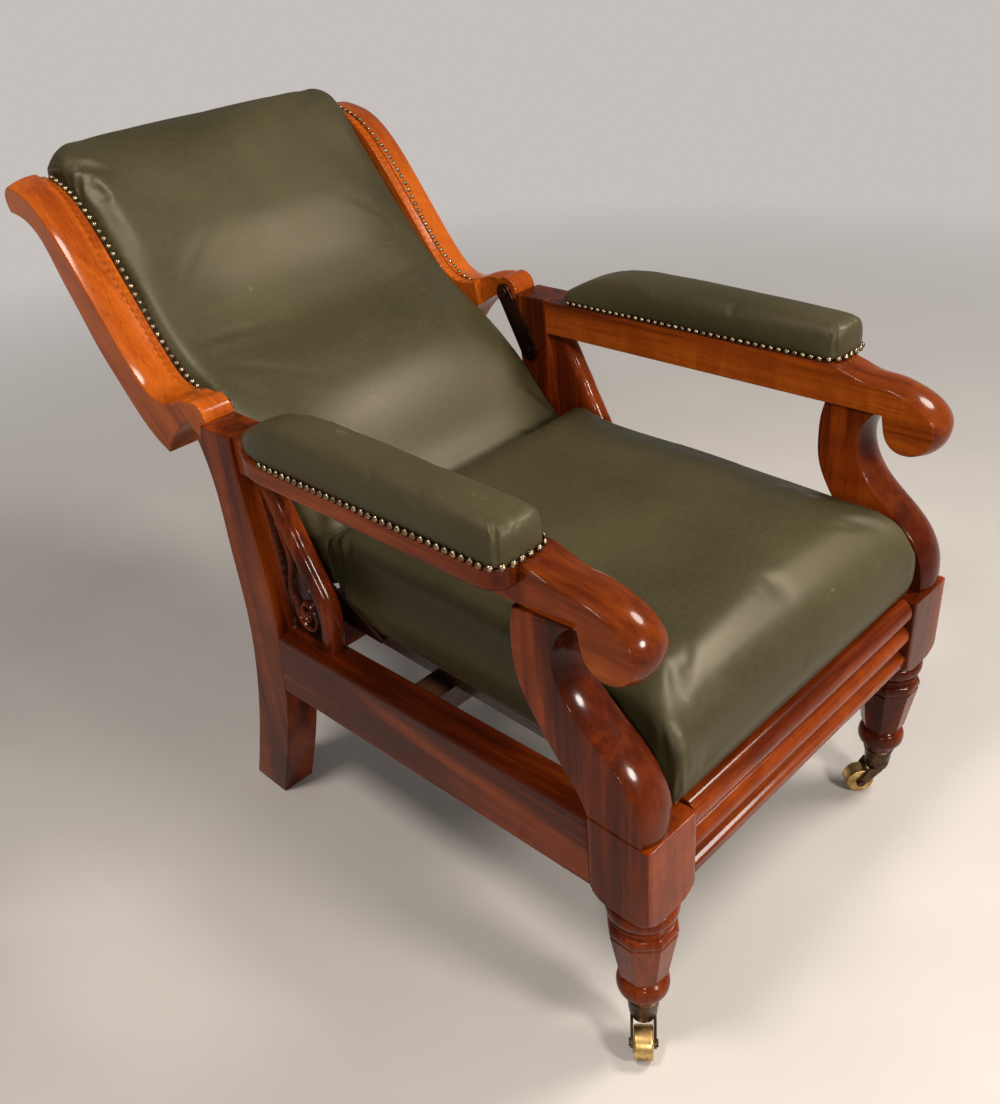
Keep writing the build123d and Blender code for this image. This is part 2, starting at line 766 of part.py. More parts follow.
# Pivot plates on the posts, their screws and the pivot pins
pivot = place(pivot_depth, pivot_height)
plate_foot = place(pivot_depth - plate_lean, pivot_height - plate_drop)
for side, name in sides:
    with BuildPart() as plate:
        with BuildSketch(side_plane(side, plate_inner)):
            with Locations(pivot):
                Circle(plate_eye)
            with Locations(plate_foot):
                Circle(plate_width / 2)
            make_hull()
            with Locations(pivot):
                Circle(pin_radius, mode=Mode.SUBTRACT)
        extrude(amount=side * plate_thickness)
    save(plate, "pivot_plate_" + name)

    with BuildPart() as pin:
        with BuildSketch(side_plane(side, plate_inner)):
            with Locations(pivot):
                Circle(pin_radius)
        extrude(amount=side * (pin_end - plate_inner))
        with BuildSketch(side_plane(side, plate_inner)):
            with Locations(pivot):
                Circle(pin_head_radius)
        extrude(amount=-side * pin_head)
    save(pin, "pivot_pin_" + name)

with BuildPart() as plate_screws:
    for side, name in sides:
        with BuildSketch(side_plane(side, plate_inner + seat_sink)):
            for share in screw_shares:
                with Locations(between(pivot, plate_foot, share * math.dist(pivot, plate_foot))):
                    Circle(screw_radius)
        extrude(amount=-side * (screw_head + seat_sink))
save(plate_screws, "plate_screws")

# Back stiles: a round knuckle in the rebate of the post, then a long scrolled sweep
stile_front = outline(stile_front_shares, pivot_depth, pivot_height, back_reach, back_rise)
stile_rear = outline(stile_rear_shares, pivot_depth, pivot_height, back_reach, back_rise)
stile_cove = outline([stile_cove_share], pivot_depth, pivot_height, back_reach, back_rise)[0]


def stile_outline():
    """Draw the closed side outline of the back stile."""
    nose = CenterArc(pivot, nose_radius, nose_start, nose_end - nose_start - full_turn)
    Spline(nose @ 1, *stile_front, tangents=[nose % 1, (1, 0)])
    TangentArc(stile_front[-1], stile_rear[0], tangent=(1, 0))
    Spline(*stile_rear)
    ThreePointArc(stile_rear[-1], stile_cove, nose @ 0)


for side, name in sides:
    with BuildPart() as stile:
        with BuildSketch(side_plane(side, stile_inner)):
            with BuildLine():
                stile_outline()
            make_face()
        extrude(amount=side * (stile_outer - stile_inner))
        with BuildSketch(side_plane(side, cushion_half)):
            with BuildLine():
                stile_outline()
            make_face()
            with Locations(pivot):
                Circle(stile_inset_radius, mode=Mode.SUBTRACT)
        extrude(amount=side * (stile_inner - cushion_half))
        with BuildSketch(side_plane(side, stile_inner)):
            with Locations(pivot):
                Circle(pin_radius + pin_gap)
        extrude(amount=side * (pin_hole_end - stile_inner), mode=Mode.SUBTRACT)
    save(stile, "back_stile_" + name)

# Inner frame of the back, hung between the stiles, with a tongue that reaches below the arms
frame_line = outline(frame_line_shares, pivot_depth, pivot_height, back_reach, back_rise)
line_low, line_bend, line_waist, line_high = frame_line
drive_spot = between(line_low, line_bend, drive_pin_up)
drive_spot = shifted([drive_spot, line_bend], drive_pin_in)[0]
for side, name in sides:
    with BuildPart() as back_side:
        with BuildSketch(side_plane(side, frame_half - frame_member)):
            with BuildLine():
                band(frame_line, 0, frame_thickness)
            make_face()
        extrude(amount=side * frame_member)
        with BuildSketch(side_plane(side, frame_half)):
            with BuildLine():
                band(frame_line, 0, frame_thickness)
            make_face()
            with Locations(place(frame_widens, pivot_height)):
                Rectangle(back_reach, 4 * back_rise, align=(Align.MAX, Align.CENTER), mode=Mode.SUBTRACT)
        extrude(amount=side * skirt)
        with BuildSketch(side_plane(side, frame_half - frame_member + skirt)):
            with Locations(drive_spot):
                Circle(drive_pin_radius)
        extrude(amount=side * frame_member, mode=Mode.SUBTRACT)
    save(back_side, "back_side_" + name)

back_rail_spans = (
    ("back_bottom_rail", line_low, between(line_low, line_bend, back_rail_length)),
    ("back_middle_rail", between(line_bend, line_low, back_rail_length), line_bend),
    ("back_top_rail", between(line_high, line_waist, back_rail_length), line_high),
)
for label, start, end in back_rail_spans:
    with BuildPart() as back_rail:
        with BuildSketch(Plane.YZ.offset(-frame_half + frame_member)):
            with BuildLine():
                band([start, end], 0, frame_thickness)
            make_face()
        extrude(amount=2 * (frame_half - frame_member))
    save(back_rail, label)

# Webbing of the back: straps along the frame, and straps across them
strap_pitch = 2 * (frame_half - frame_member / 2) / webbing_count
with BuildPart() as back_webbing:
    for index in range(webbing_count):
        start = (index + 1 / 2) * strap_pitch - webbing_count * strap_pitch / 2 - webbing_width / 2
        with BuildSketch(Plane.YZ.offset(start)):
            with BuildLine():
                band(frame_line, -webbing_thickness, 0)
            make_face()
        extrude(amount=webbing_width)
    run = math.dist(line_waist, line_high)
    for index in range(webbing_count):
        low = webbing_end + index * (run - webbing_width - 2 * webbing_end) / (webbing_count - 1)
        strap = [between(line_waist, line_high, low), between(line_waist, line_high, low + webbing_width)]
        with BuildSketch(Plane.YZ.offset(-frame_half)):
            with BuildLine():
                band(strap, -2 * webbing_thickness, -webbing_thickness)
            make_face()
        extrude(amount=2 * frame_half)
save(back_webbing, "back_webbing")

# Outside cover of the back
with BuildPart() as back_cover:
    with BuildSketch(Plane.YZ.offset(-cushion_half)):
        with BuildLine():
            band(frame_line, frame_thickness, frame_thickness + cover_thickness)
        make_face()
    extrude(amount=2 * cushion_half)
save(back_cover, "back_cover")

# Back cushion: side outlines lofted across, with a crown and a pocket over the frame
face = outline(back_face_shares, pivot_depth, pivot_height, back_reach, back_rise)
roll = outline(back_roll_shares, pivot_depth, pivot_height, back_reach, back_rise)
rear_line = shifted(frame_line, frame_thickness)
low_end = between(line_low, line_bend, -skirt)
rear_end = shifted([low_end, line_bend], frame_thickness)[0]
with BuildPart() as back_cushion:
    for across, share in zip(across_shares, crown_shares):
        lifted = []
        for index, crown in enumerate(back_crown_shares):
            beside = face[max(index - 1, 0)], face[min(index + 1, len(face) - 1)]
            length = math.dist(*beside)
            rise = back_crown * crown * share / length
            y, z = face[index]
            lifted.append((y - (beside[1][1] - beside[0][1]) * rise, z + (beside[1][0] - beside[0][0]) * rise))
        with BuildSketch(Plane.YZ.offset(across * cushion_half)):
            with BuildLine():
                Spline(*lifted)
                Spline(lifted[-1], *roll, tangents=[(1, 1), (-1, -2)])
                Polyline(roll[-1], rear_line[-1], rear_line[-2], rear_line[-3], rear_end, low_end, lifted[0])
            make_face()
    loft()
    with BuildSketch(Plane.YZ.offset(-frame_half - skirt_gap)):
        with BuildLine():
            band(frame_line, -2 * webbing_thickness, frame_thickness + overrun)
        make_face()
    extrude(amount=2 * (frame_half + skirt_gap), mode=Mode.SUBTRACT)
    with BuildSketch(Plane.YZ.offset(-cushion_half - overrun)):
        with BuildLine():
            band(frame_line, -2 * webbing_thickness, frame_thickness + overrun)
        make_face()
        with Locations(place(frame_widens - skirt_gap, pivot_height)):
            Rectangle(back_reach, 4 * back_rise, align=(Align.MAX, Align.CENTER), mode=Mode.SUBTRACT)
    extrude(amount=2 * (cushion_half + overrun), mode=Mode.SUBTRACT)
    with BuildSketch(Plane.YZ.offset(-cushion_half - overrun)):
        with Locations(drive_spot):
            Circle(drive_pin_radius)
    extrude(amount=2 * (cushion_half + overrun), mode=Mode.SUBTRACT)
save(back_cushion, "back_cushion")

# Drive pins at the foot of the back
for side, name in sides:
    with BuildPart() as drive_pin:
        with BuildSketch(side_plane(side, frame_half - frame_member + skirt)):
            with Locations(drive_spot):
                Circle(drive_pin_radius)
        extrude(amount=side * (drive_inner + drive_thickness + move_gap - frame_half + frame_member - skirt))
        with BuildSketch(side_plane(side, drive_inner + drive_thickness + move_gap)):
            with Locations(drive_spot):
                Circle(drive_pin_head_radius)
        extrude(amount=side * drive_pin_head)
    save(drive_pin, "drive_pin_" + name)

# Nails along the inner front edge of each stile
with BuildLine() as nail_line:
    Spline(*stile_front)
nail_curve = nail_line.edges()[0]
nail_spots = []
for step in range(int((nail_curve.length - nail_first) / nail_pitch) + 1):
    share = (nail_first + step * nail_pitch) / nail_curve.length
    point = nail_curve @ share
    way = nail_curve % share
    for side, name in sides:
        centre = (side * nail_across, point.X, point.Y)
        nail_spots.append(Plane(origin=centre, z_dir=(0, -way.Y, way.X)).offset(-seat_sink).location)
with BuildPart() as back_nails:
    with Locations(*nail_spots):
        Sphere(nail_radius, arc_size1=0, align=dome_align)
save(back_nails, "back_nails")

# Seat frame: four rails, webbing on top and slides below
frame_top = seat_bottom + seat_frame_height
frame_middle = (seat_frame_front + seat_frame_back) / 2
frame_height = (seat_bottom + frame_top) / 2
for side, name in sides:
    with BuildPart() as seat_side:
        with Locations(spot(side, frame_half - seat_frame_member / 2, frame_middle, frame_height)):
            Box(seat_frame_member, seat_frame_back - seat_frame_front, seat_frame_height)
    save(seat_side, "seat_side_" + name)

inner_half = frame_half - seat_frame_member
ends = (
    ("seat_frame_front", seat_frame_front + seat_frame_member / 2),
    ("seat_frame_back", seat_frame_back - seat_frame_member / 2),
)
for label, depth in ends:
    with BuildPart() as seat_end:
        with Locations(spot(0, 0, depth, frame_height)):
            Box(2 * inner_half, seat_frame_member, seat_frame_height)
    save(seat_end, label)

inner_length = seat_frame_back - seat_frame_front - 2 * seat_frame_member
with BuildPart() as seat_webbing:
    for index in range(webbing_count):
        share = (index + 1 / 2) / webbing_count - 1 / 2
        with Locations(spot(1, 2 * share * inner_half, frame_middle, seat_bottom + webbing_thickness / 2)):
            Box(webbing_width, inner_length, webbing_thickness)
        depth = frame_middle + share * inner_length
        with Locations(spot(0, 0, depth, seat_bottom + webbing_thickness * 3 / 2)):
            Box(2 * inner_half, webbing_width, webbing_thickness)
save(seat_webbing, "seat_webbing")

# Moving front rail of the seat with its reed
seat_rail_low = front_rail_top + seat_gap
seat_rail_half = block_inner - rail_end_gap
with BuildPart() as seat_rail:
    with BuildSketch(Plane.YZ.offset(-seat_rail_half)):
        with BuildLine():
            reed_side = seat_rail_face - step_depth / 2
            Polyline(
                place(reed_side, seat_reed_bottom),
                place(seat_rail_face, seat_reed_bottom),
                place(seat_rail_face, seat_rail_low),
                place(seat_rail_back, seat_rail_low),
                place(seat_rail_back, seat_bottom),
                place(seat_rail_face, seat_bottom),
                place(seat_rail_face, seat_reed_top),
                place(reed_side, seat_reed_top),
            )
            ThreePointArc(
                place(reed_side, seat_reed_top),
                place(reed_depth, (seat_reed_top + seat_reed_bottom) / 2),
                place(reed_side, seat_reed_bottom),
            )
        make_face()
    extrude(amount=2 * seat_rail_half)
save(seat_rail, "seat_front_rail")

slide_front = front_rail_back + seat_gap
slide_low = runner_top - runner_lip + move_gap
for side, name in sides:
    with BuildPart() as slide:
        middle = (slide_front + seat_frame_back) / 2
        with Locations(spot(side, runner_middle, middle, (slide_low + seat_bottom) / 2)):
            Box(slide_width, seat_frame_back - slide_front, seat_bottom - slide_low)
    save(slide, "seat_slide_" + name)

# Seat cushion: side outlines lofted across, with a pocket over the frame
cushion_length = cushion_back - cushion_front
cushion_height = cushion_side_top - seat_bottom
with BuildPart() as seat_cushion:
    front = outline(seat_front_shares, cushion_front, seat_bottom, cushion_length, cushion_height)
    top = outline(seat_top_shares, cushion_front, seat_bottom, cushion_length, cushion_height)
    back = outline(seat_back_shares, cushion_front, seat_bottom, cushion_length, cushion_height)
    for across, share in zip(across_shares, crown_shares):
        lifted = [(y, z + cushion_crown * share * crown) for (y, z), crown in zip(top, seat_crown_shares)]
        with BuildSketch(Plane.YZ.offset(across * cushion_half)):
            with BuildLine():
                Spline(*front[:-1], *lifted, *back[1:])
                Line(back[-1], front[0])
            make_face()
    loft()
    with BuildSketch(Plane(origin=spot(0, 0, frame_middle, seat_bottom))):
        Rectangle(2 * (frame_half + skirt_gap), seat_frame_back - seat_frame_front + 2 * skirt_gap)
        Rectangle(2 * inner_half, inner_length, mode=Mode.SUBTRACT)
    extrude(amount=seat_frame_height, mode=Mode.SUBTRACT)
    with BuildSketch(Plane(origin=spot(0, 0, frame_middle, seat_bottom))):
        Rectangle(2 * inner_half, inner_length)
    extrude(amount=2 * webbing_thickness, mode=Mode.SUBTRACT)
save(seat_cushion, "seat_cushion")

# Drive plates under the seat, each with an upright slot for the pin of the back
drive_depth = drive_spot[0] + mid_depth
for side, name in sides:
    with BuildPart() as drive_plate:
        with BuildSketch(side_plane(side, drive_inner)):
            with BuildLine():
                Polyline(
                    place(drive_foot_front, seat_bottom - drive_foot_thickness),
                    place(drive_foot_back, seat_bottom - drive_foot_thickness),
                    place(drive_depth + drive_slot_half + drive_rim, drive_slot_low - drive_rim),
                    place(drive_depth + drive_slot_half + drive_rim, drive_slot_high + drive_rim),
                    place(drive_depth - drive_slot_half - drive_rim, drive_slot_high + drive_rim),
                    place(drive_foot_front, seat_bottom),
                    close=True,
                )
            make_face()
            with Locations(place(drive_depth, (drive_slot_low + drive_slot_high) / 2)):
                Rectangle(2 * drive_slot_half, drive_slot_high - drive_slot_low, mode=Mode.SUBTRACT)
        extrude(amount=side * drive_thickness)
        foot_middle = (drive_foot_front + drive_foot_back) / 2
        foot_across = (drive_foot_inner + drive_inner + drive_thickness) / 2
        with Locations(spot(side, foot_across, foot_middle, seat_bottom - drive_foot_thickness / 2)):
            Box(
                drive_inner + drive_thickness - drive_foot_inner,
                drive_foot_back - drive_foot_front,
                drive_foot_thickness,
            )
    save(drive_plate, "drive_plate_" + name)
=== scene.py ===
import bpy
import math
import numpy as np
from mathutils import Matrix, Vector


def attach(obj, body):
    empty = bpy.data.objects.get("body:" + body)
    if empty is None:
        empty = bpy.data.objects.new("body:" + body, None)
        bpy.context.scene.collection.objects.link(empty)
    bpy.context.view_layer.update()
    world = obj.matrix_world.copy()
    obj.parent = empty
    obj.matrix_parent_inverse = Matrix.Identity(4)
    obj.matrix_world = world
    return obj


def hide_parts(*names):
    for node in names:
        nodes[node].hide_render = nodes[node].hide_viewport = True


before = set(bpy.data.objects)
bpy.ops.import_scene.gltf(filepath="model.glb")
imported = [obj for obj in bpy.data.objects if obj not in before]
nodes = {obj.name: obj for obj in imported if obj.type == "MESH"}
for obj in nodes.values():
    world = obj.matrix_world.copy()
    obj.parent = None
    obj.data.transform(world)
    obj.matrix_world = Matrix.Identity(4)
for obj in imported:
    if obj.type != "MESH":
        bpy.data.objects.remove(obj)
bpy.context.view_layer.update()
sides = ((-1, "left"), (1, "right"))
midDepth = 594.0  # outlines hold depth and height in millimetres, and at this depth the frame's Y is zero
print("frame loaded")


def spline(points, count):
    # Natural cubic through the points against chord length, sampled evenly in that length.
    p = np.asarray(points, float)
    step = np.linalg.norm(np.diff(p, axis=0), axis=1)
    t = np.concatenate([[0.0], np.cumsum(step)])
    n = len(t)
    a = np.zeros((n, n))
    b = np.zeros((n, p.shape[1]))
    a[0, 0] = a[-1, -1] = 1.0
    rows = np.arange(1, n - 1)
    a[rows, rows - 1] = step[:-1]
    a[rows, rows] = 2.0 * (step[:-1] + step[1:])
    a[rows, rows + 1] = step[1:]
    slope = np.diff(p, axis=0) / step[:, None]
    b[rows] = 6.0 * np.diff(slope, axis=0)
    m = np.linalg.solve(a, b)
    s = np.linspace(0.0, t[-1], count)
    i = np.clip(np.searchsorted(t, s, side="right") - 1, 0, n - 2)
    h = step[i][:, None]
    u = (s - t[i])[:, None]
    w = h - u
    bent = (m[i] * w**3 + m[i + 1] * u**3) / (6 * h)
    return bent + (p[i] / h - m[i] * h / 6) * w + (p[i + 1] / h - m[i + 1] * h / 6) * u


def arc(centre, radius, start, end, count):
    # Points on a circle from one angle to another, in degrees.
    t = np.radians(np.linspace(start, end, count))
    return np.stack([centre[0] + radius * np.cos(t), centre[1] + radius * np.sin(t)], axis=1)


def line(a, b, count=2):
    # Points along a straight run.
    t = np.linspace(0.0, 1.0, count)[:, None]
    return np.asarray(a, float) * (1 - t) + np.asarray(b, float) * t


def joinRuns(*runs):
    # Runs end to end, with points that fall on the one before left out.
    p = np.concatenate([np.asarray(r, float) for r in runs])
    keep = np.linalg.norm(p - np.roll(p, 1, axis=0), axis=1) > 0.05
    return p[keep]


def signedArea(p):
    # Half the sum of x1 y2 - x2 y1 round a closed outline: positive where it runs anticlockwise.
    return 0.5 * np.sum(p[:, 0] * np.roll(p[:, 1], -1) - np.roll(p[:, 0], -1) * p[:, 1])


def inward(outline):
    # Mitred inward direction at each point of a closed outline: a step of r along it moves both sides by r.
    p = np.asarray(outline, float)
    e = np.roll(p, -1, axis=0) - p
    e /= np.linalg.norm(e, axis=1)[:, None]
    n = np.stack([-e[:, 1], e[:, 0]], axis=1)
    if signedArea(p) < 0:
        n = -n
    total = n + np.roll(n, 1, axis=0)
    size = np.sum(total * total, axis=1)[:, None]
    return 2.0 * total / np.maximum(size, 0.9)


def addObject(name, data):
    made = bpy.data.objects.new(name, data)
    bpy.context.scene.collection.objects.link(made)
    return made


def addMesh(name, verts, faces, sharp=35.0):
    # A mesh object from arrays, smooth except where faces meet at more than the sharp angle.
    mesh = bpy.data.meshes.new(name)
    mesh.from_pydata(np.asarray(verts).tolist(), [], faces)
    mesh.validate()
    mesh.shade_smooth()
    if sharp:
        mesh.set_sharp_from_angle(angle=math.radians(sharp))
    return addObject(name, mesh)


def pointsOf(mesh):
    c = np.empty(len(mesh.vertices) * 3)
    mesh.vertices.foreach_get("co", c)
    return c.reshape(-1, 3)


def putPoints(mesh, c):
    mesh.vertices.foreach_set("co", c.ravel())
    mesh.update()


def rings(count, length):
    # Quads between count rings of length points each, closed round the ring.
    i = np.arange(count - 1)[:, None] * length
    j = np.arange(length)[None, :]
    k = (j + 1) % length
    return np.stack([i + j, i + k, i + length + k, i + length + j], axis=-1).reshape(-1, 4).tolist()


def tube(count, length, outward=True):
    # The rings and a face over each end, turned round where they would face inward.
    first, last = list(range(length)), list(range((count - 1) * length, count * length))
    faces = rings(count, length) + [first[::-1], last]
    return faces if outward else [q[::-1] for q in faces]


def inFrame(x, depth, z):
    # Points in metres from places across, in depth and in height in millimetres.
    return np.stack(np.broadcast_arrays(x, depth - midDepth, z), axis=-1).reshape(-1, 3) * 0.001


def slabArrays(outline, low, high, lowRound, highRound, steps):
    # A closed outline carried along the third axis. Near each end it steps inward by r - r sin t while it moves
    # r - r cos t.
    p = np.asarray(outline, float)
    if signedArea(p) < 0:
        p = p[::-1]
        lowRound, highRound = (r[::-1] if np.ndim(r) else r for r in (lowRound, highRound))
    way = inward(p)
    lowRound, highRound = (np.broadcast_to(r, len(p))[:, None] for r in (lowRound, highRound))
    capInset = 0.5
    t = np.linspace(0.0, math.pi / 2, steps + 1)
    layers = [(p + way * (lowRound + capInset), np.full(len(p), low))]
    for a in t:
        layers.append((p + way * lowRound * (1 - math.sin(a)), low + lowRound[:, 0] * (1 - math.cos(a))))
    for a in t[::-1]:
        layers.append((p + way * highRound * (1 - math.sin(a)), high - highRound[:, 0] * (1 - math.cos(a))))
    layers.append((p + way * (highRound + capInset), np.full(len(p), high)))
    return np.concatenate([np.column_stack([q, w]) for q, w in layers]), tube(len(layers), len(p))


def slabAcross(outline, low, high, roundness, steps=5):
    # A section in depth and height carried across from one X to another.
    v, faces = slabArrays(outline, low, high, roundness, roundness, steps)
    return inFrame(v[:, 2], v[:, 0], v[:, 1]), faces


def feed(tree, socket, value):
    # Another node's output, or a value of the socket's own.
    if isinstance(value, bpy.types.NodeSocket):
        tree.links.new(value, socket)
    else:
        socket.default_value = value


def makeGroup(name, colors, numbers):
    # An empty node group: a vector, colors and numbers go in, and a color, a roughness and a height come out.
    tree = bpy.data.node_groups.new(name, "ShaderNodeTree")
    kinds = {"Vector": "Vector", **dict.fromkeys(colors, "Color"), **dict.fromkeys(numbers, "Float")}
    for label, kind in kinds.items():
        socket = tree.interface.new_socket(label, in_out="INPUT", socket_type="NodeSocket" + kind)
        if label in numbers:
            socket.default_value = numbers[label]
    for label, kind in (("Color", "Color"), ("Roughness", "Float"), ("Height", "Float")):
        tree.interface.new_socket(label, in_out="OUTPUT", socket_type="NodeSocket" + kind)
    return tree, tree.nodes.new("NodeGroupInput").outputs


def closeGroup(tree, color, roughness, height):
    sink = tree.nodes.new("NodeGroupOutput")
    for label, value in (("Color", color), ("Roughness", roughness), ("Height", height)):
        tree.links.new(value, sink.inputs[label])
    return tree


def addNode(tree, kind, settings=None, **sockets):
    # A node with its properties, and its sockets given as values or as other nodes' outputs.
    made = tree.nodes.new("ShaderNode" + kind)
    for key, value in (settings or {}).items():
        setattr(made, key, value)
    for key, value in sockets.items():
        numbered = key[0] == "i" and key[1:].isdigit()
        feed(tree, made.inputs[int(key[1:]) if numbered else key.replace("_", " ")], value)
    return made


def stretched(tree, vector, scale):
    return addNode(tree, "Mapping", {"vector_type": "POINT"}, Vector=vector, Scale=scale).outputs["Vector"]


def noise(tree, vector, scale, detail=3.0, rough=0.55, distortion=0.0):
    return addNode(tree, "TexNoise", None, Vector=vector, Scale=scale, Detail=detail, Roughness=rough,
                   Distortion=distortion).outputs["Fac"]


def remap(tree, value, low, high, toLow=0.0, toHigh=1.0):
    return addNode(tree, "MapRange", {"clamp": True}, Value=value, From_Min=low, From_Max=high, To_Min=toLow,
                   To_Max=toHigh).outputs["Result"]


def calc(tree, operation, a, b):
    return addNode(tree, "Math", {"operation": operation}, i0=a, i1=b).outputs[0]


def times(tree, a, b):
    return calc(tree, "MULTIPLY", a, b)


def plus(tree, a, b):
    return calc(tree, "ADD", a, b)


def blendColor(tree, amount, a, b, mode="MIX"):
    made = addNode(tree, "Mix", {"data_type": "RGBA", "blend_type": mode, "clamp_factor": True})
    for place, value in ((0, amount), (6, a), (7, b)):
        feed(tree, made.inputs[place], value)
    return made.outputs[2]


# Wood figure along local Z: long streaks, a wavy ribbon across them, fine dark pores and a few small marks.
figure = {  # the stretch, scale, detail, roughness and distortion of each noise
    "streak": ((1.0, 1.0, 0.05), 130.0, 6.0, 0.6, 0.3),
    "broad": ((1.0, 1.0, 0.12), 14.0, 3.0, 0.5, 0.6),
    "ribbon": ((0.35, 0.35, 1.0), 22.0, 2.0, 0.5, 1.2),
    "pores": ((1.0, 1.0, 0.035), 620.0, 2.0, 0.6, 0.1),
    "lines": ((1.0, 1.0, 0.02), 210.0, 3.0, 0.6, 0.2)}
tree, given = makeGroup("woodFigure", ("Dark", "Mid", "Light"), {"Marks": 1.0})
vec = given["Vector"]
streak, broad, ribbon, pores, lines = (
    noise(tree, stretched(tree, vec, stretch), *rest) for stretch, *rest in figure.values())
tone = plus(tree, times(tree, remap(tree, streak, 0.25, 0.75), 0.30),
            times(tree, remap(tree, broad, 0.30, 0.70), 0.70))
color = blendColor(tree, remap(tree, tone, 0.15, 0.65), given["Dark"], given["Mid"])
lightness = times(tree, remap(tree, tone, 0.40, 0.95), remap(tree, ribbon, 0.35, 0.65, 0.45, 1.0))
color = blendColor(tree, lightness, color, given["Light"])
poreMask = remap(tree, pores, 0.60, 0.68)
lineMask = remap(tree, lines, 0.56, 0.70)
color = blendColor(tree, times(tree, poreMask, 0.55), color, (0.3, 0.22, 0.2, 1), "MULTIPLY")
color = blendColor(tree, times(tree, lineMask, 0.20), color, (0.35, 0.25, 0.22, 1), "MULTIPLY")
spots = addNode(tree, "TexVoronoi", {"feature": "F1"}, Vector=vec, Scale=26.0, Randomness=1.0)
spots = remap(tree, spots.outputs["Distance"], 0.035, 0.075, 1.0, 0.0)
marks = times(tree, spots, remap(tree, noise(tree, vec, 5.0, 2.0, 0.5), 0.52, 0.6))
marks = times(tree, marks, given["Marks"])
color = blendColor(tree, times(tree, marks, 0.75), color, (0.12, 0.08, 0.06, 1), "MULTIPLY")
haze = remap(tree, noise(tree, vec, 9.0, 4.0, 0.6), 0.3, 0.75, 0.2, 0.36)
dents = plus(tree, times(tree, poreMask, 0.4), marks)
woodFigure = closeGroup(tree, color, haze, calc(tree, "SUBTRACT", times(tree, broad, 0.4), dents))

# Smooth hide: fine pebbles, faint pulls and a cloudy tone that goes paler where it is rubbed.
tree, given = makeGroup("leatherHide", ("Deep", "Rubbed"), {})
vec = given["Vector"]
pebbles = addNode(tree, "TexVoronoi", {"feature": "SMOOTH_F1"}, Vector=vec, Scale=820.0, Smoothness=0.6)
cloud = noise(tree, vec, 4.0, 3.0, 0.5, 0.3)
fine = noise(tree, vec, 140.0, 4.0, 0.65)
pull = noise(tree, stretched(tree, vec, (1.0, 0.3, 0.6)), 26.0, 3.0, 0.55, 1.0)
shade = plus(tree, times(tree, cloud, 0.7), times(tree, fine, 0.3))
color = blendColor(tree, remap(tree, shade, 0.36, 0.66), given["Deep"], given["Rubbed"])
scuff = noise(tree, stretched(tree, vec, (1.0, 0.09, 1.0)), 60.0, 4.0, 0.6, 1.4)
place = noise(tree, vec, 5.5, 2.0, 0.5)
scuffMask = times(tree, remap(tree, scuff, 0.66, 0.74), remap(tree, place, 0.50, 0.64))
color = blendColor(tree, times(tree, scuffMask, 0.35), color, (0.17, 0.135, 0.075, 1))
dull = remap(tree, plus(tree, cloud, times(tree, fine, 0.4)), 0.5, 0.9, 0.40, 0.54)
relief = plus(tree, times(tree, pebbles.outputs["Distance"], 0.5), times(tree, pull, 0.35))
leatherHide = closeGroup(tree, color, dull, plus(tree, relief, times(tree, fine, 0.35)))

# Aged metal: bright where it is rubbed, brown in the hollows of a patchy noise.
tree, given = makeGroup("agedMetal", ("Bright", "Dull"), {"Scale": 60.0})
patch = noise(tree, given["Vector"], given["Scale"], 5.0, 0.65)
color = blendColor(tree, remap(tree, patch, 0.36, 0.62), given["Dull"], given["Bright"])
agedMetal = closeGroup(tree, color, remap(tree, patch, 0.35, 0.65, 0.5, 0.24), patch)

# Plain weave: two trains of waves cross, and a fine noise makes the yarns uneven.
tree, given = makeGroup("weave", ("Deep", "Pale"), {"Scale": 300.0})
across, along = (
    addNode(tree, "TexWave", {"bands_direction": way}, Vector=given["Vector"], Scale=given["Scale"],
            Distortion=1.2).outputs["Fac"] for way in ("X", "DIAGONAL"))
yarn = times(tree, across, along)
uneven = noise(tree, given["Vector"], 90.0, 4.0, 0.7)
paleness = times(tree, plus(tree, yarn, 0.35), remap(tree, uneven, 0.3, 0.7, 0.5, 1.0))
color = blendColor(tree, paleness, given["Deep"], given["Pale"])
weave = closeGroup(tree, color, remap(tree, uneven, 0.3, 0.7, 0.75, 0.95), yarn)

# Painted shade for the wood: a dark colour laid into carved hollows, and a darker colour mixed by a share into
# fronts and tops, fading out as a face's normal turns to the side between two limits.
paintedShade = {"grime": (0.010, 0.0022, 0.0012, 1), "topShade": (0.024, 0.0034, 0.0011, 1), "topShadeShare": 0.55,
        "flatFrom": 0.72, "flatTo": 0.97}


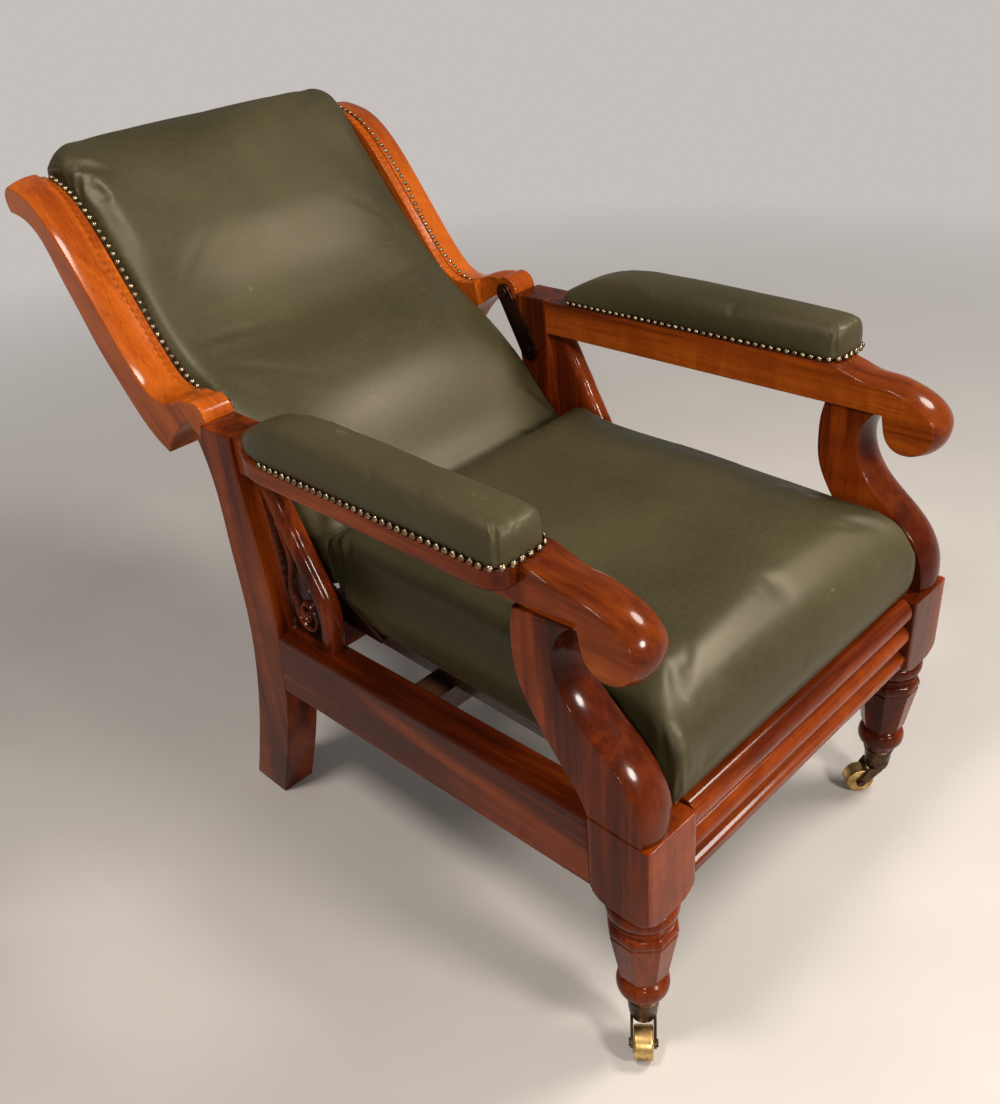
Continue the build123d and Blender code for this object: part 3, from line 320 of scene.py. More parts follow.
def makeMaterial(name, group, values, bump=(0.1, 0.0005), turn=(0, 0, 0), shader=None, grime=False, worn=False):
    # A Principled surface fed by one group on Object coordinates turned by some degrees. Painted shade
    # darkens the carved hollows and the front and top of a piece with shaded tops; its flat sides stay paler.
    material = bpy.data.materials.new(name)
    material.use_nodes = True
    tree = material.node_tree
    surface = tree.nodes["Principled BSDF"]
    for key, value in (shader or {}).items():
        surface.inputs[key].default_value = value
    coords = addNode(tree, "TexCoord").outputs["Object"]
    turned = addNode(tree, "Mapping", None, Vector=coords, Rotation=[math.radians(a) for a in turn])
    made = addNode(tree, "Group", {"node_tree": group}, Vector=turned.outputs["Vector"], **values)
    color = made.outputs["Color"]
    # Painted shade in the carved hollows, by the share in the hollow attribute.
    if grime:
        hollow = addNode(tree, "Attribute", {"attribute_name": "hollow"}).outputs["Fac"]
        color = blendColor(tree, hollow, color, paintedShade["grime"])
    # Painted shade on fronts and tops: the darker colour is mixed in where the normal turns least to the side.
    if worn:
        ways = addNode(tree, "SeparateXYZ", None, Vector=addNode(tree, "TexCoord").outputs["Normal"])
        flatSide = remap(tree, calc(tree, "ABSOLUTE", ways.outputs["X"], 0.0), paintedShade["flatFrom"], paintedShade["flatTo"])
        shadedColor = blendColor(tree, paintedShade["topShadeShare"], color, paintedShade["topShade"])
        color = blendColor(tree, flatSide, shadedColor, color)
    tree.links.new(color, surface.inputs["Base Color"])
    tree.links.new(made.outputs["Roughness"], surface.inputs["Roughness"])
    relief = addNode(tree, "Bump", None, Strength=bump[0], Distance=bump[1], Height=made.outputs["Height"])
    tree.links.new(relief.outputs["Normal"], surface.inputs["Normal"])
    return material


def tones(**colors):
    return {name: (*color, 1) for name, color in colors.items()}


mahogany = tones(Dark=(0.030, 0.0040, 0.0008), Mid=(0.110, 0.0140, 0.0014), Light=(0.250, 0.045, 0.0040))
wornMahogany = tones(Dark=(0.050, 0.0068, 0.0010), Mid=(0.175, 0.0265, 0.0020), Light=(0.330, 0.0700, 0.0060))
paleMahogany = tones(Dark=(0.150, 0.0230, 0.0020), Mid=(0.300, 0.0560, 0.0042), Light=(0.420, 0.0930, 0.0075))
# The inner frame's wood is painted dark brown, as painted shade where it shows under the seat's side.
shadedInnerWood = tones(Dark=(0.040, 0.017, 0.008), Mid=(0.090, 0.042, 0.019), Light=(0.150, 0.078, 0.038))
hide = tones(Deep=(0.0265, 0.0226, 0.0090), Rubbed=(0.045, 0.0372, 0.0152))
jute = tones(Deep=(0.16, 0.115, 0.065), Pale=(0.38, 0.30, 0.19))
polish = {"Coat Weight": 0.50, "Coat Roughness": 0.13, "Coat IOR": 1.34, "Specular IOR Level": 0.02}
hideShader = {"Specular IOR Level": 0.34, "Specular Tint": (1.0, 0.88, 0.68, 1)}
alongX, alongY, alongZ, alongStile = (0, 90, 0), (90, 0, 0), (0, 0, 0), (49, 0, 0)
grain, smoothGrain, rawGrain = (0.12, 0.0004), (0.08, 0.0004), (0.2, 0.0005)


def wood(name, colors, turn, bump=grain, shader=polish, **extras):
    return makeMaterial(name, woodFigure, colors, bump, turn, shader, **extras)


def metal(name, bright, dull, scale, strength=0.1):
    values = {**tones(Bright=bright, Dull=dull), "Scale": scale}
    return makeMaterial(name, agedMetal, values, (strength, 0.0002), alongZ, {"Metallic": 1.0})


woodX = wood("mahoganyAcross", mahogany, alongX)
woodY = wood("mahoganyAlong", mahogany, alongY)
woodZ = wood("mahoganyUpright", mahogany, alongZ)
# Arms and supports get painted shade on their fronts and tops.
woodArm = wood("mahoganyArm", wornMahogany, alongY, smoothGrain, worn=True)
woodSupport = wood("mahoganySupport", mahogany, alongZ, smoothGrain, worn=True)
# The carved brackets get painted shade in their hollows.
woodCarved = wood("mahoganyCarved", mahogany, alongZ, grime=True)
woodStile = wood("mahoganyPale", paleMahogany, alongStile)
plainX = wood("plainAcross", shadedInnerWood, alongX, rawGrain, None)
plainY = wood("plainAlong", shadedInnerWood, alongY, rawGrain, None)
leather = makeMaterial("greenHide", leatherHide, hide, (0.16, 0.0005), alongZ, hideShader)
brass = metal("agedBrass", (0.72, 0.50, 0.19), (0.30, 0.18, 0.07), 70.0)
bronze = metal("darkBronze", (0.115, 0.070, 0.036), (0.030, 0.018, 0.010), 60.0, 0.15)
nailBrass = metal("nailBrass", (0.34, 0.26, 0.16), (0.07, 0.045, 0.026), 160.0)
steel = metal("brownedSteel", (0.105, 0.052, 0.034), (0.050, 0.020, 0.012), 90.0)
webbing = makeMaterial("jute", weave, {**jute, "Scale": 380.0}, (0.8, 0.0008))


def paint(material, *names):
    for name in names:
        mesh = nodes[name].data
        mesh.materials.clear()
        mesh.materials.append(material)


def bothSides(*names):
    return [f"{name}_{side}" for name in names for _, side in sides]


paint(woodZ, *bothSides("back_leg", "front_leg", "arm_support", "arm_bracket"))
paint(woodY, *bothSides("side_rail", "arm"))
paint(woodX, "front_rail", "rear_rail", "seat_front_rail")
paint(woodStile, *bothSides("back_stile"))
paint(plainY, *bothSides("seat_runner", "seat_slide", "seat_side", "back_side"))
paint(plainX, "cross_rail", "seat_frame_front", "seat_frame_back", "back_bottom_rail", "back_middle_rail",
      "back_top_rail")
paint(leather, *bothSides("arm_pad"), "seat_cushion", "back_cushion", "back_cover")
paint(webbing, "seat_webbing", "back_webbing")
paint(nailBrass, "arm_nails", "back_nails")
paint(brass, *bothSides("castor_wheel"))
paint(bronze, *bothSides("castor_cup", "castor_horn"))
paint(steel, *bothSides("castor_axle", "pivot_plate", "pivot_pin", "drive_pin", "drive_plate"),
      "castor_spindles", "plate_screws")
print("materials ready")


# Long shapes whose side outline is carried across the chair
def arcThrough(a, b, c, count):
    # Circle through three points: its centre is where the two chords' middle lines cross.
    a, b, c = (np.asarray(p, float) for p in (a, b, c))
    m = 2.0 * np.array([b - a, c - a])
    centre = np.linalg.solve(m, [b @ b - a @ a, c @ c - a @ a])
    start, mid, end = (math.degrees(math.atan2(*(p - centre)[::-1])) for p in (a, b, c))
    mid, end = start + (mid - start) % 360.0, start + (end - start) % 360.0
    if mid > end:
        end -= 360.0
    return arc(centre, np.linalg.norm(a - centre), start, end, count)


def crowned(name, outline, side, low, high, crown=0.0, edge=1.5, layers=9, tilt=0.0):
    # At u from -1 (low) to 1 (high) a point steps inward by crown u^2 + tilt (1 + u) / 2, and by the edge's
    # quarter round.
    p = np.asarray(outline, float)
    crown, edge, tilt = (np.broadcast_to(np.asarray(value, float), len(p)) for value in (crown, edge, tilt))
    if signedArea(p) < 0:
        p, crown, edge, tilt = p[::-1], crown[::-1], edge[::-1], tilt[::-1]
    way = inward(p)
    # The crown moves a point square to the crowned edges beside it, so that a corner slides along its end face
    along = np.roll(p, -1, axis=0) - p
    square = np.stack([-along[:, 1], along[:, 0]], axis=1) / np.linalg.norm(along, axis=1)[:, None]
    square *= (np.minimum(crown, np.roll(crown, -1)) ** 2 + 1e-6)[:, None]
    square = square + np.roll(square, 1, axis=0)
    square /= np.linalg.norm(square, axis=1)[:, None]
    half, middle = (high - low) / 2, (high + low) / 2
    places, steps = [np.full(len(p), -half)], [edge + 0.6]
    for a in np.linspace(0.0, math.pi / 2, 5):
        places.append(-half + edge * (1 - math.cos(a)))
        steps.append(edge * (1 - math.sin(a)))
    for u in np.linspace(-1.0, 1.0, layers)[1:-1]:
        places.append(np.full(len(p), u * (half - edge.max())))
        steps.append(np.zeros(len(p)))
    places += [-w for w in places[5::-1]]
    steps += steps[5::-1]
    rows = []
    for w, s in zip(places, steps):
        u = w / half
        place = p + way * (s + tilt * (1 + u) / 2)[:, None] + square * (crown * u * u)[:, None]
        rows.append(np.column_stack([place, middle + w]))
    v = np.concatenate(rows)
    return addMesh(name, inFrame(side * v[:, 2], v[:, 0], v[:, 1]), tube(len(rows), len(p), side > 0))


def settle(piece, body, material, slot, *replaced):
    # Material, body and the nodes that a piece stands for; slot is unused. Flat faces keep their own normals.
    piece.data.materials.clear()
    piece.data.materials.append(material)
    weigh = piece.modifiers.new("flatFaces", "WEIGHTED_NORMAL")
    weigh.keep_sharp = True
    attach(piece, body)
    if replaced:
        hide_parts(*replaced)


def crownedPair(name, outline, shape, edge, crown, layers, material, node):
    # A fixed mahogany piece on both sides, from the inner to the outer face of its shape.
    for side, word in sides:
        piece = crowned(f"{name}_{word}", outline, side, shape["inner"], shape["outer"], crown, edge, layers)
        settle(piece, "frame", material, "mahogany", f"{node}_{word}")


# The arms and the side rails fall away to the rear: a height at the front, and a drop over a length.
armLine = {"front": 165.0, "height": 624.0, "drop": 14.0, "length": 603.0, "thick": 54.0}
railLine = {"front": 85.0, "height": 381.0, "drop": 26.0, "length": 590.0, "thick": 102.0}


def fallen(values, depth):
    return values["height"] - (depth - values["front"]) * values["drop"] / values["length"]


def armTop(depth):
    return fallen(armLine, depth) + armLine["thick"]


pivotSpot = np.array([768.0, 664.0])


def fromPivot(points):
    return np.linalg.norm(points - pivotSpot, axis=1)


# Back legs: the top holds a hollow round the pivot for the knuckle of the back
postShape = {
    "front": [(750.3, 0), (687.4, 187.9), (666.6, 300.1), (658.9, 379.8), (663.6, 498), (675.8, 604.9)],
    "rear": [(768, 664), (745.7, 600.3), (738, 478), (735, 370), (742.7, 290), (765.7, 185), (826.4, 0)],
    "shoulder": [(676, 606), (676, armTop(676))], "hollow": 24.4, "hollowStart": 178.6,
    "inner": 274, "outer": 330, "edge": 1.8}
postFront = spline(postShape["front"], 60)
postRear = spline(postShape["rear"], 90)
postRear = postRear[fromPivot(postRear) > postShape["hollow"] + 0.2]
hollowEnd = math.degrees(math.atan2(*(postRear[0] - pivotSpot)[::-1])) % 360.0
postHollow = arc(pivotSpot, postShape["hollow"], postShape["hollowStart"], hollowEnd, 14)
postOutline = joinRuns(postFront, postShape["shoulder"], postHollow, postRear)
crownedPair("postBody", postOutline, postShape, postShape["edge"], 0.0, 3, woodZ, "back_leg")

# Side rails
railTop = {depth: fallen(railLine, depth) for depth in (85, 662, 673)}
railShape = {
    "outline": [(84.9, railTop[85] - railLine["thick"]), (673.0, railTop[673] - railLine["thick"]),
                (662.5, railTop[662]), (84.9, railTop[85])],
    "inner": 280, "outer": 330, "edges": (2, 2, 4, 4)}
crownedPair("railBody", railShape["outline"], railShape, railShape["edges"], 0.0, 3, woodY, "side_rail")

# Front rail and the rail above it that moves with the seat: a reed, a hollow and a fillet
frontSection = joinRuns(
    [(43.9, 276), (43.9, 346)], [(18, 346), (14.5, 343)],
    arcThrough((12.5, 342.5), (3.4, 328), (11.5, 313.5), 15), [(13.5, 312)],
    arcThrough((14.5, 310.5), (15.6, 301), (9.5, 295), 9),
    arcThrough((6.5, 294), (4.6, 290), (6.0, 286), 7), [(6.0, 279)],
    arcThrough((6.4, 278), (7.5, 276.4), (10, 276), 5))
seatSection = joinRuns(
    [(37.9, 346.6), (37.9, 387.9), (17, 387.9)],
    arcThrough((13.5, 386.5), (2.8, 368), (12.5, 350.5), 19), [(14, 348.5), (15, 346.6)])
frontShape = {"half": 245, "edge": 0.6, "seatHalf": 242.5, "seatEdge": 1.2}
frontMesh = slabAcross(frontSection, -frontShape["half"], frontShape["half"], frontShape["edge"], 3)
seatMesh = slabAcross(seatSection, -frontShape["seatHalf"], frontShape["seatHalf"], frontShape["seatEdge"], 3)
settle(addMesh("frontRail", *frontMesh), "frame", woodX, "mahogany", "front_rail")
settle(addMesh("seatRail", *seatMesh), "seat", woodX, "mahogany", "seat_front_rail")

# Arm supports: the front is crowned across, the outer face is flat
supportShape = {
    "rear": [(176, 623.6), (180.9, 600), (182, 576), (177, 530.4), (158, 492), (126, 446.4), (100.8, 414),
             (91, 398.4), (85.5, 384.2)],
    "front": [(3.4, 384.2), (4, 405.6), (13, 440.4), (33, 470.4), (64, 498), (97, 528), (112, 553.2),
              (117, 583.2), (107, 610.8), (91.1, 625.6)],
    "inner": 274, "outer": 329, "crown": 7.0, "rearCrown": 1.0, "edge": 1.6}
front = spline(supportShape["front"], 90)
rear = spline(supportShape["rear"], 80)
supportCrown = [supportShape["crown"]] * len(front) + [supportShape["rearCrown"]] * len(rear)
crownedPair("supportBody", joinRuns(front, rear), supportShape, supportShape["edge"], supportCrown, 11,
            woodSupport, "arm_support")

# Arms: a beam whose front rolls under, crowned across like the supports, and the wider board below the pad
armShape = {
    "roll": [(165, 678), (146, 675.5), (125.4, 672), (95.7, 671), (69.3, 666), (41.3, 655), (23.1, 641),
             (13.5, 623), (14.0, 606), (24.8, 586.5), (50, 574.5), (74, 580), (87.5, 599), (91.5, 616)],
    "rear": 676, "inner": 270, "outer": 324, "edge": 1.5, "crown": 8.0, "crownEnd": 172.0, "crownFade": 60.0,
    "boardInner": 298, "boardOuter": 357, "boardFront": 165.0, "boardThick": 29.0, "boardEdges": (8.0, 3.0),
    "cornerRound": 30.0, "boardEnd": [(357, 560), (356.6, 585), (351, 612), (340.5, 632), (326, 652)]}
roll = spline(armShape["roll"], 120)
fromTop = np.clip((armShape["crownEnd"] - roll[:, 0]) / armShape["crownFade"], 0.0, 1.0)
fromTip = np.clip((np.arange(120)[::-1] - 6) / 30.0, 0.12, 1.0)
beam = line((92.5, fallen(armLine, 92)), (armShape["rear"], fallen(armLine, armShape["rear"])), 12)
beamTop = line((armShape["rear"], armTop(armShape["rear"])), (170, armTop(170)), 12)
armOutline = joinRuns(roll, beam, beamTop)
armCrown = np.concatenate([armShape["crown"] * fromTop * fromTip, np.zeros(24)])[:len(armOutline)]
r = armShape["cornerRound"]
boardPlan = joinRuns(
    [(322, 655), (armShape["boardInner"], 652), (armShape["boardInner"], 166.0)],
    arc((armShape["boardOuter"] - r, armShape["boardFront"] + r), r, -90, 0, 12),
    spline(armShape["boardEnd"], 24))
for side, word in sides:
    arm = crowned(f"armBody_{word}", armOutline, side, armShape["inner"], armShape["outer"], armCrown,
                  armShape["edge"], 11)
    settle(arm, "frame", woodArm, "mahogany", f"arm_{word}")
    v, faces = slabArrays(boardPlan, 0.0, armShape["boardThick"], *armShape["boardEdges"], 5)
    v[:, 2] += armTop(v[:, 1]) - armShape["boardThick"]
    faces = faces if side > 0 else [q[::-1] for q in faces]
    board = addMesh(f"armBoard_{word}", inFrame(side * v[:, 0], v[:, 1], v[:, 2]), faces)
    settle(board, "frame", woodArm, "mahogany")

# Stiles of the back: the front face rises from the outer arris to the cushion
stileShape = {
    "front": [(775.4, 686.8), (800.8, 684.8), (830.2, 672.3), (862.1, 667.1), (886, 671.8), (909.1, 687.9),
              (944.8, 728), (978.8, 771.9), (1012, 815), (1046.9, 858), (1080, 890), (1109.9, 909.7),
              (1140.1, 920.1), (1163.6, 924)],
    "rear": [(1181.7, 882.9), (1159, 881.1), (1133.4, 874.6), (1108.2, 859), (1075.9, 810.9), (1043.9, 761),
             (1012, 711.1), (975, 667.9), (936.8, 627.1), (896.1, 595.9), (868.8, 583.9)],
    "knuckle": 24.0, "endCentre": (1163.6, 899.47), "endRadius": 24.53, "rise": 9.0, "crown": 3.0,
    "inner": 275, "outer": 321, "edge": 1.8, "stripInner": 262.6, "stripOuter": 277, "stripEdge": 1.2,
    "stripRiseShare": 0.35}
nose = arc(pivotSpot, stileShape["knuckle"], -24.4, -286.0, 40)
front = spline(stileShape["front"], 120)
end = arc(stileShape["endCentre"], stileShape["endRadius"], 88, -42.5, 16)
rear = spline(stileShape["rear"], 100)
cove = arcThrough((868.8, 583.9), (824.7, 631.5), (789.9, 654.1), 24)
stileOutline = joinRuns(nose, front, end, rear, cove[:-1])
isFront = np.zeros(len(stileOutline))
isFront[len(nose):len(nose) + len(front)] = 1.0
isFront[len(nose) + len(front):len(nose) + len(front) + 8] = np.linspace(1.0, 0.2, 8)
rise = stileShape["rise"] * np.clip((fromPivot(stileOutline) - 26.0) / 60.0, 0.0, 1.0) * isFront
clear = fromPivot(stileOutline) > 60.0
upright = slice(None) if signedArea(stileOutline) > 0 else slice(None, None, -1)
way, lift = inward(stileOutline[upright]), rise[upright]
for side, word in sides:
    # Outward by the rise at the inner edge, falling to nothing at the outer arris
    body = crowned(f"stileBody_{word}", stileOutline, side, stileShape["inner"], stileShape["outer"],
                   stileShape["crown"] * isFront, stileShape["edge"], 11)
    c = pointsOf(body.data)
    share = (stileShape["outer"] - np.abs(c[:, 0]) * 1000) / (stileShape["outer"] - stileShape["inner"])
    share = np.clip(share, 0.0, 1.0).reshape(-1, len(stileOutline)) ** 0.8
    c[:, 1:] += (-way[None] * (lift[None] * share)[..., None] * 0.001).reshape(-1, 2)
    putPoints(body.data, c)
    settle(body, "back", woodStile, "mahogany_light", f"back_stile_{word}")
    strip = crowned(f"stileStrip_{word}", stileOutline[clear], side, stileShape["stripInner"],
                    stileShape["stripOuter"], 0.0, stileShape["stripEdge"], 3,
                    -stileShape["stripRiseShare"] * rise[clear])
    settle(strip, "back", woodStile, "mahogany_light")
print("frame pieces ready")


def ramp(value, low, high):
    # Smooth step 3t^2 - 2t^3 of t, the share of the way from low to high.
    t = np.clip((value - low) / (high - low), 0.0, 1.0)
    return t * t * (3.0 - 2.0 * t)


def nearest(points, path):
    # Shortest distance from each point to a line of points, and how far along the line it falls, from 0 to 1.
    a, b = path[:-1], path[1:]
    ab = b - a
    t = np.clip(np.einsum("nkj,kj->nk", points[:, None] - a[None], ab) / np.sum(ab * ab, axis=1), 0.0, 1.0)
    gap = np.linalg.norm(points[:, None] - (a[None] + t[..., None] * ab[None]), axis=2)
    k = np.argmin(gap, axis=1)
    rows = np.arange(len(points))
    return gap[rows, k], (k + t[rows, k]) / len(ab)


# Carved brackets: rows at level heights, each a loop round the half-round front, the carved outer face and the
# flat inner one
bracketShape = {
    "front": [(650, 612.5), (626, 575), (620, 563), (604, 535), (597, 520), (587, 503), (580, 490),
              (572.5, 477), (566, 465), (558, 450), (553.5, 439), (550, 420), (550.5, 396), (555, 376),
              (561, 356.5)],
    "top": 612.0, "foot": 357.0, "inner": 281.0, "outer": 312.0, "reach": 15.0, "sink": 7.5,
    "frontBorder": 21.0, "rearBorder": 12.0, "footBorder": 367.0,
    "centre": (602.5, 409.0), "curlEnd": 3.3 * math.pi, "curlStart": 0.35, "curlRadius": 29.0, "curlStep": 6.9,
    "curlNarrow": 0.88, "eye": 6.5, "ridge": 7.6,
    "stem": [(637, 548), (628, 524), (622.5, 500), (626, 472), (633.5, 446), (632.5, 425)],
    "leaf": [(608, 497), (600, 473), (592, 455), (583, 439), (577.5, 421)], "leafHalf": 3.4, "leafRidge": 5.6}


def halfRound(gap, half):
    # The height of a round ridge of unit height at a gap from its middle: sqrt(1 - (gap / half)^2).
    return np.sqrt(np.clip(1.0 - (gap / half) ** 2, 0.0, 1.0))


def bracketRelief(d, z, front, rear):
    # Depth of the carving: a sunk ground inside the border, less a ridge that runs down and winds into a
    # volute, and a leaf beside it.
    shape = bracketShape
    inside = np.minimum((d - front - shape["frontBorder"]) * 0.8, rear - shape["rearBorder"] - d)
    ground = ramp(np.minimum(inside, z - shape["footBorder"]), 0.0, 3.0) * shape["sink"]
    turn = np.linspace(0.0, shape["curlEnd"], 110)
    radius = shape["curlRadius"] - shape["curlStep"] * turn / math.pi
    curl = np.stack([shape["centre"][0] + radius * shape["curlNarrow"] * np.cos(shape["curlStart"] - turn),
                     shape["centre"][1] + radius * np.sin(shape["curlStart"] - turn)], axis=1)
    path = np.concatenate([spline(shape["stem"] + [curl[0]], 50)[:-1], curl])
    points = np.stack([d.ravel(), z.ravel()], axis=1)
    gap, share = nearest(points, path)
    ridge = halfRound(gap, np.interp(share, [0.0, 0.3, 0.6, 1.0], [2.4, 4.2, 4.0, 2.6])) * shape["ridge"]
    eye = halfRound(np.linalg.norm(points - shape["centre"], axis=1), shape["eye"]) * shape["ridge"]
    gap, share = nearest(points, spline(shape["leaf"], 20))
    leaf = halfRound(gap, shape["leafHalf"] * np.sin(np.clip(share, 0.06, 0.94) * math.pi)) * shape["leafRidge"]
    raised = np.maximum(np.maximum(ridge, eye), leaf).reshape(d.shape)
    return np.maximum(ground - raised, 0.0)


def makeBracket(name, side):
    # Half-round front: depth goes back by r (1 - cos t), while the width runs from the inner to the outer face.
    shape = bracketShape
    edge = spline(shape["front"], 400)
    heights = np.linspace(shape["top"], shape["foot"], 180)
    front = np.interp(-heights, -edge[:, 1], edge[:, 0])[:, None]
    rear = (np.interp(heights, postFront[:, 1], postFront[:, 0]) + 0.6)[:, None]
    halfThick = (shape["outer"] - shape["inner"]) / 2
    turn = np.linspace(-math.pi / 2, math.pi / 2, 19)
    reach = np.minimum(shape["reach"], (rear - front) / 2)
    frontDepth = front + reach * (1 - np.cos(turn))[None]
    frontWidth = shape["inner"] + halfThick + halfThick * np.sin(turn)
    frontWidth = np.broadcast_to(frontWidth[None], frontDepth.shape)
    s = np.linspace(0.0, 1.0, 62)[None, 1:]
    outerDepth = (front + reach) * (1 - s) + rear * s
    carve = bracketRelief(outerDepth, np.broadcast_to(heights[:, None], outerDepth.shape), front, rear)
    s = np.linspace(0.0, 0.9, 5)[None]
    innerDepth = rear * (1 - s) + (front + reach) * s
    depth = np.concatenate([frontDepth, outerDepth, innerDepth], axis=1)
    inner = np.full(innerDepth.shape, shape["inner"])
    width = np.concatenate([frontWidth, shape["outer"] - carve, inner], axis=1)
    verts = inFrame(width * side, depth, heights[:, None])
    piece = addMesh(name, verts, tube(*depth.shape, side > 0), 45.0)
    # The hollow attribute holds the share of painted shade laid into the carved ground.
    hollow = np.zeros(depth.shape)
    carved = slice(frontDepth.shape[1], frontDepth.shape[1] + carve.shape[1])
    hollow[:, carved] = 0.9 * ramp(carve, 0.25, 0.85 * shape["sink"])
    piece.data.attributes.new("hollow", "FLOAT", "POINT").data.foreach_set("value", hollow.ravel())
    return piece


for side, word in sides:
    piece = makeBracket(f"bracketBody_{word}", side)
    settle(piece, "frame", woodCarved, "mahogany", f"arm_bracket_{word}")

# Front legs: a square block met by a round shoulder, beads, an eight-sided taper, a bulb and a socket end
legShape = {
    "axis": (287.5, 42.5), "half": 42.5, "corner": 34.0,
    "block": [(384.0, 2.6), (384.0, 1.6), (383.6, 0.6), (382.6, 0.0), (330.0, 0.0), (285.0, 0.0)],
    "shoulder": 285.0, "shoulderDrop": 23.0, "shoulderNeck": 43.5, "shoulderReach": 17.0,
    "neck": [(261.5, 40.5), (259.5, 38.6), (257.0, 38.2)], "bead": (247.0, 9.5, 38.0, 5.4, 0.15, 15),
    "fillets": [(236.4, 37.2), (235.0, 36.8), (233.6, 38.6), (232.8, 39.6), (230.6, 39.8), (229.4, 39.0),
                (228.6, 37.6), (226.4, 36.4), (224.2, 36.2), (222.8, 36.8)],
    "drum": 214.5, "drumHalf": 8.5, "drumNeck": 36.6, "drumSwell": 5.2, "drumInset": 1.4,
    "taper": [205.0, 204.0, 180.0, 156.0, 132.5], "taperTop": 39.2, "taperFoot": 28.4, "taperLength": 72.5,
    "taperEnd": (131.0, 28.0), "collar": [(130.4, 26.6), (127.0, 25.2), (125.0, 25.4), (123.8, 26.4)],
    "bulb": (109.6, 13.6, 26.2, 6.5, 0.2, 19),
    "foot": [(95.6, 26.0), (94.6, 25.0), (93.4, 24.2), (86.0, 22.2), (84.2, 21.6), (84.0, 18.1), (53.0, 15.1)]}


def beadRows(height, half, neck, swell, start, count):
    # Heights at height + half cos a, and radii at neck + swell sin a.
    angles = np.linspace(start, math.pi - start, count)
    return [(height + half * math.cos(a), neck + swell * math.sin(a)) for a in angles]


def makeLeg(name, side):
    # A polar surface: each row is a height and a radius for every angle t. The block's section is the rounded
    # square (|cos t|^n + |sin t|^n)^(-1/n), and eight gives the radius of a flat-sided octagon.
    shape = legShape
    t = np.arange(128) * 2 * math.pi / 128
    square = shape["half"] * (np.abs(np.cos(t)) ** shape["corner"] + np.abs(np.sin(t)) ** shape["corner"]) ** (
        -1.0 / shape["corner"])
    eight = 1.0 / np.cos((t + math.pi / 8) % (math.pi / 4) - math.pi / 8)
    rows = [(z, square - inset) for z, inset in shape["block"]]
    for a in np.linspace(0.0, math.pi / 2, 16)[1:]:
        height = shape["shoulder"] - shape["shoulderDrop"] * math.sin(a) ** 1.15
        rows.append((height, np.minimum(square, shape["shoulderNeck"] + shape["shoulderReach"] * math.cos(a))))
    rows += shape["neck"] + beadRows(*shape["bead"]) + shape["fillets"]
    # The drum passes from round to eight-sided
    for a, mix in zip(np.linspace(0.25, math.pi * 0.86, 13), np.linspace(0.25, 1.0, 13) ** 0.6):
        r = shape["drumNeck"] + shape["drumSwell"] * math.sin(a)
        height = shape["drum"] + shape["drumHalf"] * math.cos(a)
        rows.append((height, r * (1 - mix) + (r - shape["drumInset"]) * eight * mix))
    top, foot = shape["taperTop"], shape["taperFoot"]
    for z in shape["taper"]:
        rows.append((z, (top + (foot - top) * (shape["taper"][0] - z) / shape["taperLength"]) * eight))
    rows.append((shape["taperEnd"][0], shape["taperEnd"][1] * eight))
    rows += shape["collar"] + beadRows(*shape["bulb"]) + shape["foot"]
    r = np.array([np.broadcast_to(row, t.shape) for _, row in rows])
    z = np.array([height for height, _ in rows])[:, None]
    x = side * shape["axis"][0] + r * np.cos(t)
    y = shape["axis"][1] - midDepth + r * np.sin(t)
    verts = np.stack(np.broadcast_arrays(x, y, z), axis=-1).reshape(-1, 3) * 0.001
    return addMesh(name, verts, tube(*r.shape, False), 28.0)


for side, word in sides:
    settle(makeLeg(f"legBody_{word}", side), "frame", woodZ, "mahogany", f"front_leg_{word}")

# Nails: their domes, and where they sit round the pads and along the stiles
nailShape = {
    "radius": 4.3, "heightShare": 0.8, "rings": (94.0, 74.0, 50.0, 26.0),
    "padPitch": 12.2, "padProud": 1.2, "padLift": 3.2, "padTilt": 0.12, "padMiddle": (314.0, 240.0),
    "outerEnd": 574.0, "innerEnd": 636.0, "stilePitch": 12.6, "stileX": 267.5, "stileTilt": 0.35,
    "stileLine": [(838, 673.5), (846, 674), (866, 682), (899, 705), (936, 745), (969, 793), (1002, 840),
                  (1039, 878), (1081, 909), (1114, 922), (1140, 929)]}


def domes(name, centres, ways):
    # Dome nails: rings of 10 points at r sin t, lifted by a share of r cos t along each nail's own way.
    centres, ways = np.concatenate(centres), np.concatenate(ways)
    ways = ways / np.linalg.norm(ways, axis=1)[:, None]
    side = np.cross(ways, np.where(np.abs(ways[:, 2:3]) < 0.9, [[0.0, 0.0, 1.0]], [[1.0, 0.0, 0.0]]))
    side /= np.linalg.norm(side, axis=1)[:, None]
    up = np.cross(ways, side)
    t = np.radians(nailShape["rings"])
    a = np.arange(10) * 2 * math.pi / 10
    top = nailShape["radius"] * nailShape["heightShare"]
    ring = nailShape["radius"] * np.sin(t)[:, None] * np.ones(10)
    lift = np.broadcast_to((top * np.cos(t))[:, None], ring.shape)
    x, y, h = (np.append(v, end)[None, :, None] for v, end in (
        (ring * np.cos(a), 0.0), (ring * np.sin(a), 0.0), (lift, top)))
    v = (centres[:, None] + x * side[:, None] + y * up[:, None] + h * ways[:, None]).reshape(-1, 3)
    one = rings(4, 10) + [[30 + i, 30 + (i + 1) % 10, 40] for i in range(10)] + [list(range(9, -1, -1))]
    faces = [[i + k * 41 for i in q] for k in range(len(centres)) for q in one]
    return addMesh(name, inFrame(v[:, 0], v[:, 1], v[:, 2]), faces, None)


